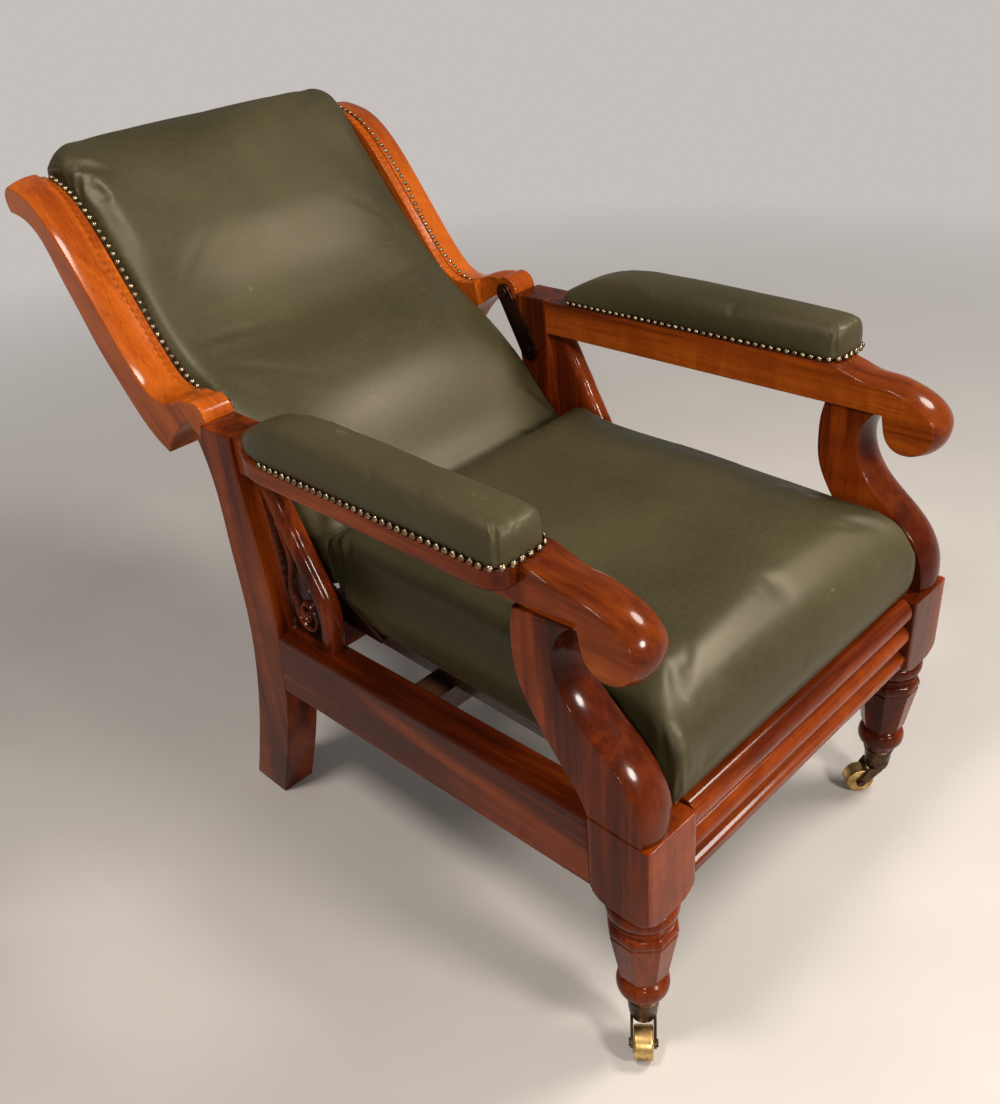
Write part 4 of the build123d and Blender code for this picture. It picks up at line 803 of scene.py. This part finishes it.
def evenly(path, pitch):
    # Points at an even pitch along a line of points, and the direction there.
    s = np.concatenate([[0.0], np.cumsum(np.linalg.norm(np.diff(path, axis=0), axis=1))])
    count = int(round(s[-1] / pitch))
    at = (np.arange(count) + 0.5) * s[-1] / count

    def along(where):
        return np.stack([np.interp(where, s, column) for column in path.T], axis=1)

    way = along(at + 1) - along(at - 1)
    return along(at), way / np.linalg.norm(way, axis=1)[:, None]


# Padded pieces
airSettings = {
    "quality": 5, "mass": 0.3, "tension_stiffness": 14.0, "compression_stiffness": 14.0, "shear_stiffness": 8.4,
    "bending_stiffness": 1.5, "use_pressure": True, "vertex_group_mass": "held"}
airFrames = 20


def evaluated(piece):
    return piece.evaluated_get(bpy.context.evaluated_depsgraph_get())


def airPad(name, verts, faces, cell, lift, pinned, cap, pressure=4.0):
    # A voxel skin of the rough form, lifted to its crown, then blown up by Cloth with its foot pinned. A
    # point's move m is limited to cap * tanh(m / cap).
    rough = addMesh(name + "Rough", verts, faces, None)
    skin = rough.modifiers.new("skin", "REMESH")
    skin.mode = "VOXEL"
    skin.voxel_size = cell
    even = rough.modifiers.new("even", "SMOOTH")
    even.factor, even.iterations = 0.5, 6
    mesh = bpy.data.meshes.new_from_object(evaluated(rough))
    bpy.data.objects.remove(rough)
    piece = addObject(name, mesh)
    start = lift(pointsOf(mesh) * 1000.0) * 0.001
    putPoints(mesh, start)
    held = pinned(start * 1000.0)
    group = piece.vertex_groups.new(name="held")
    for level in (0.35, 0.7, 1.0):
        group.add(np.flatnonzero(held >= level - 0.3).tolist(), level, "REPLACE")
    air = piece.modifiers.new("air", "CLOTH")
    for key, value in airSettings.items():
        setattr(air.settings, key, value)
    air.settings.uniform_pressure_force = pressure
    air.settings.effector_weights.gravity = 0.0
    air.collision_settings.use_collision = False
    air.collision_settings.use_self_collision = False
    air.point_cache.frame_start, air.point_cache.frame_end = 1, airFrames
    for step in range(1, airFrames + 1):
        bpy.context.scene.frame_set(step)
    move = pointsOf(evaluated(piece).data) - start
    size = np.linalg.norm(move, axis=1)[:, None]
    move *= cap * 0.001 * np.tanh(size / (cap * 0.001)) / np.maximum(size, 1e-9)
    piece.modifiers.remove(air)
    piece.vertex_groups.clear()
    putPoints(mesh, start + move)
    bpy.context.scene.frame_set(1)
    finer = piece.modifiers.new("finer", "SUBSURF")
    finer.levels = finer.render_levels = 1
    mesh = bpy.data.meshes.new_from_object(evaluated(piece))
    piece.modifiers.clear()
    piece.data = mesh
    mesh.name = name
    mesh.shade_smooth()
    print(name, "padded,", len(mesh.vertices), "points")
    return piece


def reshape(piece, change):
    # Move the points of a finished skin by a function of their places in millimetres.
    c = pointsOf(piece.data) * 1000.0 + (0.0, midDepth, 0.0)
    putPoints(piece.data, (change(c) - (0.0, midDepth, 0.0)) * 0.001)


def fold(c, path, half, depth, way, side=1):
    # A crease along a path, or its mirror image at side -1: a point at a distance g moves against way by
    # depth exp(-(g / half)^2), less a raised lip at 2.3 half.
    path = spline(np.asarray(path, float) * (side, 1, 1), 30)
    way = np.asarray(way, float) * (side, 1, 1)
    reach = 6 * half
    near = np.flatnonzero(np.all((c > path.min(axis=0) - reach) & (c < path.max(axis=0) + reach), axis=1))
    if len(near):
        gap, share = nearest(c[near], path)
        ends = np.clip(np.sin(math.pi * np.clip(share, 0.02, 0.98)), 0, 1) ** 0.6
        push = depth * ends * (np.exp(-(gap / half) ** 2) - 0.35 * np.exp(-((gap - 2.3 * half) / half) ** 2))
        c[near] -= push[:, None] * (way / np.linalg.norm(way))


def crownAcross(c):
    # 1 - u^2.6 of u, the distance from the middle over the half width.
    return 1 - np.clip(np.abs(c[:, 0]) / 258.0, 0, 1) ** 2.6


# Seat cushion
seatShape = {
    "outline": [(20, 389), (13, 410), (9, 438), (13, 466), (34, 494), (88, 507), (215, 510), (394, 511),
                (540, 512), (594, 512), (613, 502), (616, 470), (604, 432), (590, 389)],
    "middle": 300.0, "half": 259.5, "crown": 15.0, "round": 13.0, "rearRound": 4.0, "cell": 0.007, "cap": 6.0}


def seatLift(c):
    # Crown: height times (1 - u^2.6)(1 - v^4) over the half width and half length, fading in over the sides.
    along = np.clip(np.abs(c[:, 1] + midDepth - seatShape["middle"]) / seatShape["middle"], 0, 1)
    c[:, 2] += seatShape["crown"] * (crownAcross(c) * (1 - along ** 4.0)) * ramp(c[:, 2], 415.0, 495.0)
    return c


form = np.array(seatShape["outline"], float)
form = joinRuns(form[:1], spline(form[:-1], 90), form[-1:])
rounded = seatShape["round"] + (seatShape["rearRound"] - seatShape["round"]) * ramp(form[:, 0], 560, 590)
rounded = rounded * ramp(form[:, 1], 392, 440) + 1.5
rough = slabAcross(form, -seatShape["half"], seatShape["half"], rounded)
seatPad = airPad("seatPad", *rough, seatShape["cell"], seatLift, lambda c: ramp(c[:, 2], 412.0, 396.0),
                 seatShape["cap"])

# Creases at the corners of the seat: a path over the left corner, its half width and depth, and its way out
seatFolds = [
    ([(-236, 40, 508), (-250, 26, 497), (-257, 17, 474), (-258, 14, 440), (-257, 16, 398)],
     3.2, 9.0, (-1, -1, 0.3)),
    ([(-226, 22, 500), (-240, 12, 482), (-247, 8, 452), (-248, 10, 405)], 4.0, 4.0, (-0.3, -1, 0.2)),
    ([(-258, 46, 500), (-260, 38, 478), (-260, 33, 440)], 4.0, 3.4, (-1, -0.3, 0.1)),
    ([(-226, 590, 514), (-243, 586, 511), (-256, 582, 500), (-260, 579, 478), (-260, 576, 452)],
     4.0, 4.2, (-1, 0.3, 0.8)),
    ([(-232, 604, 506), (-246, 603, 500), (-258, 600, 486), (-260, 596, 462)], 4.0, 4.0, (-1, 0.8, 0.5)),
    ([(-250, 560, 512), (-258, 562, 500), (-260, 558, 480)], 4.5, 2.0, (-1, 0, 0.7))]


def creased(c):
    for crease in seatFolds:
        fold(c, *crease)
        fold(c, *crease, -1)
    return c


reshape(seatPad, creased)
settle(seatPad, "seat", leather, "leather", "seat_cushion")

# Back cushion
backShape = {
    "face": [(606, 423), (603, 440), (606, 460), (617, 482), (641, 504), (686, 549), (749, 604), (817, 651),
             (878, 690), (912, 719), (947, 753), (1000, 816), (1055, 884), (1092, 927), (1122, 953),
             (1148, 966), (1170, 958), (1180, 938), (1170, 914)],
    "half": 259.5, "crown": 25.0, "round": 17.0, "cell": 0.007, "cap": 7.0, "cornerDrop": 12.0, "rear": 29.5}
frameLine = np.array([(646.2, 453.9), (841.9, 628.1), (904.9, 676.0), (1120.0, 905.0)])
backSpot = np.array([842.0, 628.0])
backAlong = np.array([0.738, 0.675])
backNormal = np.array([-0.675, 0.738])


def shiftedLine(points, amount):
    # Each point moved to the rear side of the line by an amount, mitred at the bends.
    e = np.diff(points, axis=0)
    e /= np.linalg.norm(e, axis=1)[:, None]
    n = np.stack([e[:, 1], -e[:, 0]], axis=1)
    before, after = np.vstack([n[:1], n]), np.vstack([n, n[-1:]])
    total = before + after
    return points + total * (2 * amount / np.sum(total * total, axis=1))[:, None]


def backPlace(depth, z):
    # Distance along the back from its spot, and out from it.
    d, z = depth - backSpot[0], z - backSpot[1]
    return d * backAlong[0] + z * backAlong[1], d * backNormal[0] + z * backNormal[1]


def backLift(c):
    # Crown along the back's normal, over the width and from the foot to the top roll. The top corners drop.
    along, height = backPlace(c[:, 1] + midDepth, c[:, 2])
    share = crownAcross(c) * ramp(along, -235, -50) * (1 - 0.5 * ramp(along, 190, 410))
    c[:, 1:] += (backShape["crown"] * share * ramp(height, 6.0, 34.0))[:, None] * backNormal
    corner = ramp(along, 345.0, 430.0) * ramp(np.abs(c[:, 0]), 222.0, 262.0)
    c[:, 1:] -= (backShape["cornerDrop"] * corner)[:, None] * backAlong
    return c


rearLine = shiftedLine(frameLine, backShape["rear"])[::-1]
form = joinRuns(spline(backShape["face"], 130), line(rearLine[0] - (14, 15), rearLine[1], 20),
                line(rearLine[1], rearLine[2], 6), line(rearLine[2], rearLine[3] - (12, 11), 20))
rounded = backShape["round"] * ramp(backPlace(form[:, 0], form[:, 1])[1], 0, 28) + 1.5
rough = slabAcross(form, -backShape["half"], backShape["half"], rounded)
backPad = airPad("backPad", *rough, backShape["cell"], backLift,
                 lambda c: ramp(backPlace(c[:, 1] + midDepth, c[:, 2])[1], 10.0, -4.0), backShape["cap"])

# Gathers round the top corners and a pleat at the foot, in distance across, along the back and out from it
backFolds = [
    ([(-256, 352, 30), (-252, 372, 38), (-238, 388, 44), (-222, 396, 46)], 3.8, 2.6),
    ([(-258, 376, 24), (-254, 392, 33), (-242, 402, 40), (-226, 410, 42)], 3.6, 3.2),
    ([(-258, 396, 16), (-254, 408, 26), (-244, 417, 33), (-228, 424, 36)], 3.6, 3.4),
    ([(-257, 410, 8), (-252, 422, 16), (-240, 430, 24), (-224, 436, 26)], 3.6, 3.0),
    ([(-258, -190, 34), (-260, -200, 18), (-260, -212, 2), (-260, -222, -14)], 4.5, 3.6),
    ([(-258, -232, 26), (-260, -236, 12), (-260, -240, -4)], 4.5, 2.6)]


def gathered(c):
    for path, half, depth in backFolds:
        p = np.asarray(path, float)
        placed = np.column_stack([p[:, 0], backSpot + p[:, 1:2] * backAlong + p[:, 2:] * backNormal])
        for side in (1, -1):
            fold(c, placed, half, depth, (-0.8, *backNormal), side)
    return c


reshape(backPad, gathered)
settle(backPad, "back", leather, "leather", "back_cushion")

# Outside cover of the back: bowed leather behind the frame
coverShape = {"rear": 37.0, "front": 30.2, "half": 261.5, "bow": 5.0, "edge": 1.2}
coverRear = shiftedLine(frameLine, coverShape["rear"])
coverOutline = joinRuns(line(coverRear[0], coverRear[1], 14), line(coverRear[1], coverRear[2], 6),
                        line(coverRear[2], coverRear[3], 16), shiftedLine(frameLine, coverShape["front"])[::-1])
coverBow = np.concatenate([np.full(len(coverOutline) - 4, coverShape["bow"]), np.zeros(4)])
cover = crowned("coverSheet", coverOutline, 1, -coverShape["half"], coverShape["half"], coverBow,
                coverShape["edge"], 15)
settle(cover, "back", leather, "leather", "back_cover")

# Arm pads
padShape = {
    "front": 163.5, "rear": 651.0, "inner": 275.0, "outer": 354.5, "corner": 22.0, "seam": 0.4,
    "cell": 0.0045, "cap": 4.0, "pressure": 3.0,
    "curve": ([545, 572, 600, 622, 640, 655], [0.0, 1.0, 5.0, 13.0, 22.0, 32.0]),
    "rise": ([0, 10, 40, 100, 246, 340, 380, 410, 435, 455, 472, 488],
             [40, 46, 49, 52, 56.5, 56.5, 53, 47, 39, 30, 21, 13])}


def padEdges(s):
    # Inner and outer distance from the middle: a quarter round at each end, and outside the curve of the
    # board's rear end.
    corner = padShape["corner"]
    end = np.minimum(np.minimum(s, padShape["rear"] - padShape["front"] - s), corner)
    cut = corner - np.sqrt(np.clip(corner ** 2 - (corner - end) ** 2, 0, None))
    bend = np.interp(s + padShape["front"], *padShape["curve"])
    return padShape["inner"] + cut, padShape["outer"] - np.maximum(cut, bend)


def padHeld(c):
    return ramp(c[:, 2] - armTop(c[:, 1] + midDepth), 9.0, 3.0)


def makePad(name, side):
    # Sections (|x| / w)^6 + (z / h)^2.1 = 1 across the pad, closer together at its ends.
    t = np.linspace(0.0, 1.0, 70)
    s = (padShape["rear"] - padShape["front"]) * (t - np.sin(2 * math.pi * t) / (2 * math.pi) * 0.75)
    inner, outer = padEdges(s)
    h = np.interp(s, *padShape["rise"])
    a = np.linspace(0.0, math.pi, 41)
    x = np.sign(np.cos(a)) * np.abs(np.cos(a)) ** 0.33
    depth = padShape["front"] + s
    base = armTop(depth) + padShape["seam"]
    across = side * (inner + outer)[:, None] / 2 - (outer - inner)[:, None] / 2 * x[None]
    up = base[:, None] + h[:, None] * (np.abs(np.sin(a)) ** 0.95)[None]
    verts = inFrame(across, depth[:, None], up)
    return airPad(name, verts, tube(*up.shape, False), padShape["cell"], lambda c: c, padHeld, padShape["cap"],
                  padShape["pressure"])


# Creases of a pad's corners, in distance from the middle, depth and height above the arm
padFolds = [
    ([(333, 187, 49), (341, 178, 45), (347.5, 170.5, 34), (348.5, 169.5, 20), (348.5, 169.5, 6)],
     2.6, 3.4, (1, -1, 0.2)),
    ([(294, 184, 50), (287, 177, 46), (281.5, 170.5, 36), (281, 170, 20), (281, 170, 6)],
     2.6, 3.0, (-1, -1, 0.2)),
    ([(320, 178, 50), (322, 168, 46), (323, 164, 36)], 3.0, 1.2, (0, -1, 0.5))]


def pinched(side):
    def change(c):
        for path, half, depth, way in padFolds:
            p = np.asarray(path, float)
            placed = np.column_stack([p[:, 0], p[:, 1], p[:, 2] + armTop(p[:, 1])])
            fold(c, placed, half, depth, way, side)
        return c
    return change


for side, word in sides:
    pad = makePad(f"armPad_{word}", side)
    reshape(pad, pinched(side))
    settle(pad, "frame", leather, "leather", f"arm_pad_{word}")

# Nails round the pads and along the stiles
s = np.linspace(0.0, padShape["rear"] - padShape["front"], 500)
inner, outer = padEdges(s)
loop = np.concatenate([np.stack([outer, s], axis=1)[::-1], np.stack([inner, s], axis=1)])
outside = loop[:, 0] > nailShape["padMiddle"][0]
nailed = loop[:, 1] + padShape["front"] < np.where(outside, nailShape["outerEnd"], nailShape["innerEnd"])
at, way = evenly(loop[nailed], nailShape["padPitch"])
out = np.stack([way[:, 1], -way[:, 0]], axis=1)
out *= np.sign(np.sum(out * (at - nailShape["padMiddle"]), axis=1))[:, None]
across = at[:, 0] + out[:, 0] * nailShape["padProud"]
depth = at[:, 1] + padShape["front"] + out[:, 1] * nailShape["padProud"]
up, tilt = armTop(depth) + nailShape["padLift"], np.full(len(at), nailShape["padTilt"])
padCentres = [np.column_stack([side * across, depth, up]) for side, _ in sides]
padWays = [np.column_stack([side * out[:, 0], out[:, 1], tilt]) for side, _ in sides]
settle(domes("padNails", padCentres, padWays), "frame", nailBrass, "nails", "arm_nails")

at, way = evenly(spline(nailShape["stileLine"], 200), nailShape["stilePitch"])
across, tilt = np.full(len(at), nailShape["stileX"]), np.full(len(at), nailShape["stileTilt"])
stileCentres = [np.column_stack([side * across, at]) for side, _ in sides]
stileWays = [np.column_stack([side * tilt, -way[:, 1], way[:, 0]]) for side, _ in sides]
settle(domes("stileNails", stileCentres, stileWays), "back", nailBrass, "nails", "back_nails")
print("soft pieces ready")


# Camera, floor and light
view = {"turn": -42.64, "rise": 31.67, "roll": -5.13, "place": (-0.9567, -1.0862, 1.2627), "lens": 35.81,
        "shift": (0.0036, -0.0066)}
room = {"floorDark": (0.44, 0.41, 0.385, 1), "floorLight": (0.49, 0.455, 0.43, 1), "floorRoughness": 0.6,
        "far": (0.56, 0.525, 0.50, 1), "farFrom": 1.0, "farTo": 3.4, "sky": (0.90, 0.885, 0.87, 1),
        "skyStrength": 0.25}
lamps = {  # place, target, width, power and color
    "keyLamp": ((1.25, -1.35, 2.5), (0, 0, 0.5), 0.8, 72, (1.0, 0.94, 0.85)),
    "sideLamp": ((-1.2, -0.25, 2.5), (-0.2, 0.2, 0.7), 0.5, 38, (1.0, 0.94, 0.86)),
    "frontLamp": ((-0.05, -2.15, 1.35), (0, 0, 0.5), 0.40, 34, (1.0, 0.95, 0.88)),
    "leftLamp": ((-1.55, -1.83, 1.15), (-0.3, 0, 0.5), 0.20, 11, (1.0, 0.95, 0.88))}


def addCamera():
    # Axes from the turn, the rise and the roll of the photograph's view.
    turn, rise, roll = (math.radians(view[key]) for key in ("turn", "rise", "roll"))
    back = Vector((math.sin(turn) * math.cos(rise), -math.cos(turn) * math.cos(rise), math.sin(rise)))
    right = Vector((math.cos(turn), math.sin(turn), 0.0))
    up = back.cross(right)
    across = right * math.cos(roll) + up * math.sin(roll)
    upward = up * math.cos(roll) - right * math.sin(roll)
    data = bpy.data.cameras.new("camera")
    data.lens = view["lens"]
    data.sensor_width = 36.0
    data.shift_x, data.shift_y = view["shift"]
    camera = addObject("camera", data)
    turned = Matrix((across, upward, back)).transposed().to_4x4()
    camera.matrix_world = Matrix.Translation(view["place"]) @ turned
    bpy.context.scene.camera = camera


def addFloor():
    # Far from the chair the floor passes into an even pale backdrop for what sees it.
    floor = addMesh("floor", [(-60, -60, 0), (60, -60, 0), (60, 60, 0), (-60, 60, 0)], [[0, 1, 2, 3]], None)
    material = bpy.data.materials.new("floorPaint")
    material.use_nodes = True
    tree = material.node_tree
    surface = tree.nodes["Principled BSDF"]
    coords = addNode(tree, "TexCoord").outputs["Object"]
    mottle = remap(tree, noise(tree, coords, 1.6, 4.0, 0.6), 0.3, 0.7)
    color = blendColor(tree, mottle, room["floorDark"], room["floorLight"])
    tree.links.new(color, surface.inputs["Base Color"])
    surface.inputs["Roughness"].default_value = room["floorRoughness"]
    far = addNode(tree, "VectorMath", {"operation": "LENGTH"}, i0=coords).outputs["Value"]
    ray = addNode(tree, "LightPath").outputs
    seen = calc(tree, "MAXIMUM", ray["Is Camera Ray"], ray["Is Glossy Ray"])
    seen = calc(tree, "MAXIMUM", seen, ray["Is Transmission Ray"])
    glow = addNode(tree, "Emission", None, Color=room["far"], Strength=1.0).outputs["Emission"]
    share = times(tree, remap(tree, far, room["farFrom"], room["farTo"]), seen)
    mix = addNode(tree, "MixShader", None, i0=share, i1=surface.outputs["BSDF"], i2=glow)
    tree.links.new(mix.outputs["Shader"], tree.nodes["Material Output"].inputs["Surface"])
    floor.data.materials.append(material)


def addLamp(name, place, target, size, power, color):
    data = bpy.data.lights.new(name, "AREA")
    data.shape = "DISK"
    data.size = size
    data.energy = power
    data.color = color
    lamp = addObject(name, data)
    lamp.location = place
    lamp.rotation_euler = (Vector(target) - Vector(place)).to_track_quat("-Z", "Y").to_euler()


def addWorld():
    # Only what looks straight at it sees the sky in the floor's own far color.
    world = bpy.data.worlds.new("studio")
    bpy.context.scene.world = world
    world.use_nodes = True
    tree = world.node_tree
    background = tree.nodes["Background"]
    background.inputs["Color"].default_value = room["sky"]
    background.inputs["Strength"].default_value = room["skyStrength"]
    sky = addNode(tree, "Background", None, Color=room["far"], Strength=1.0).outputs["Background"]
    mix = addNode(tree, "MixShader", None, i0=addNode(tree, "LightPath").outputs["Is Camera Ray"],
                  i1=background.outputs["Background"], i2=sky)
    tree.links.new(mix.outputs["Shader"], tree.nodes["World Output"].inputs["Surface"])


addCamera()
addFloor()
addWorld()
for name, values in lamps.items():
    addLamp(name, *values)
bpy.context.scene.view_settings.view_transform = "Standard"
print("stage ready")
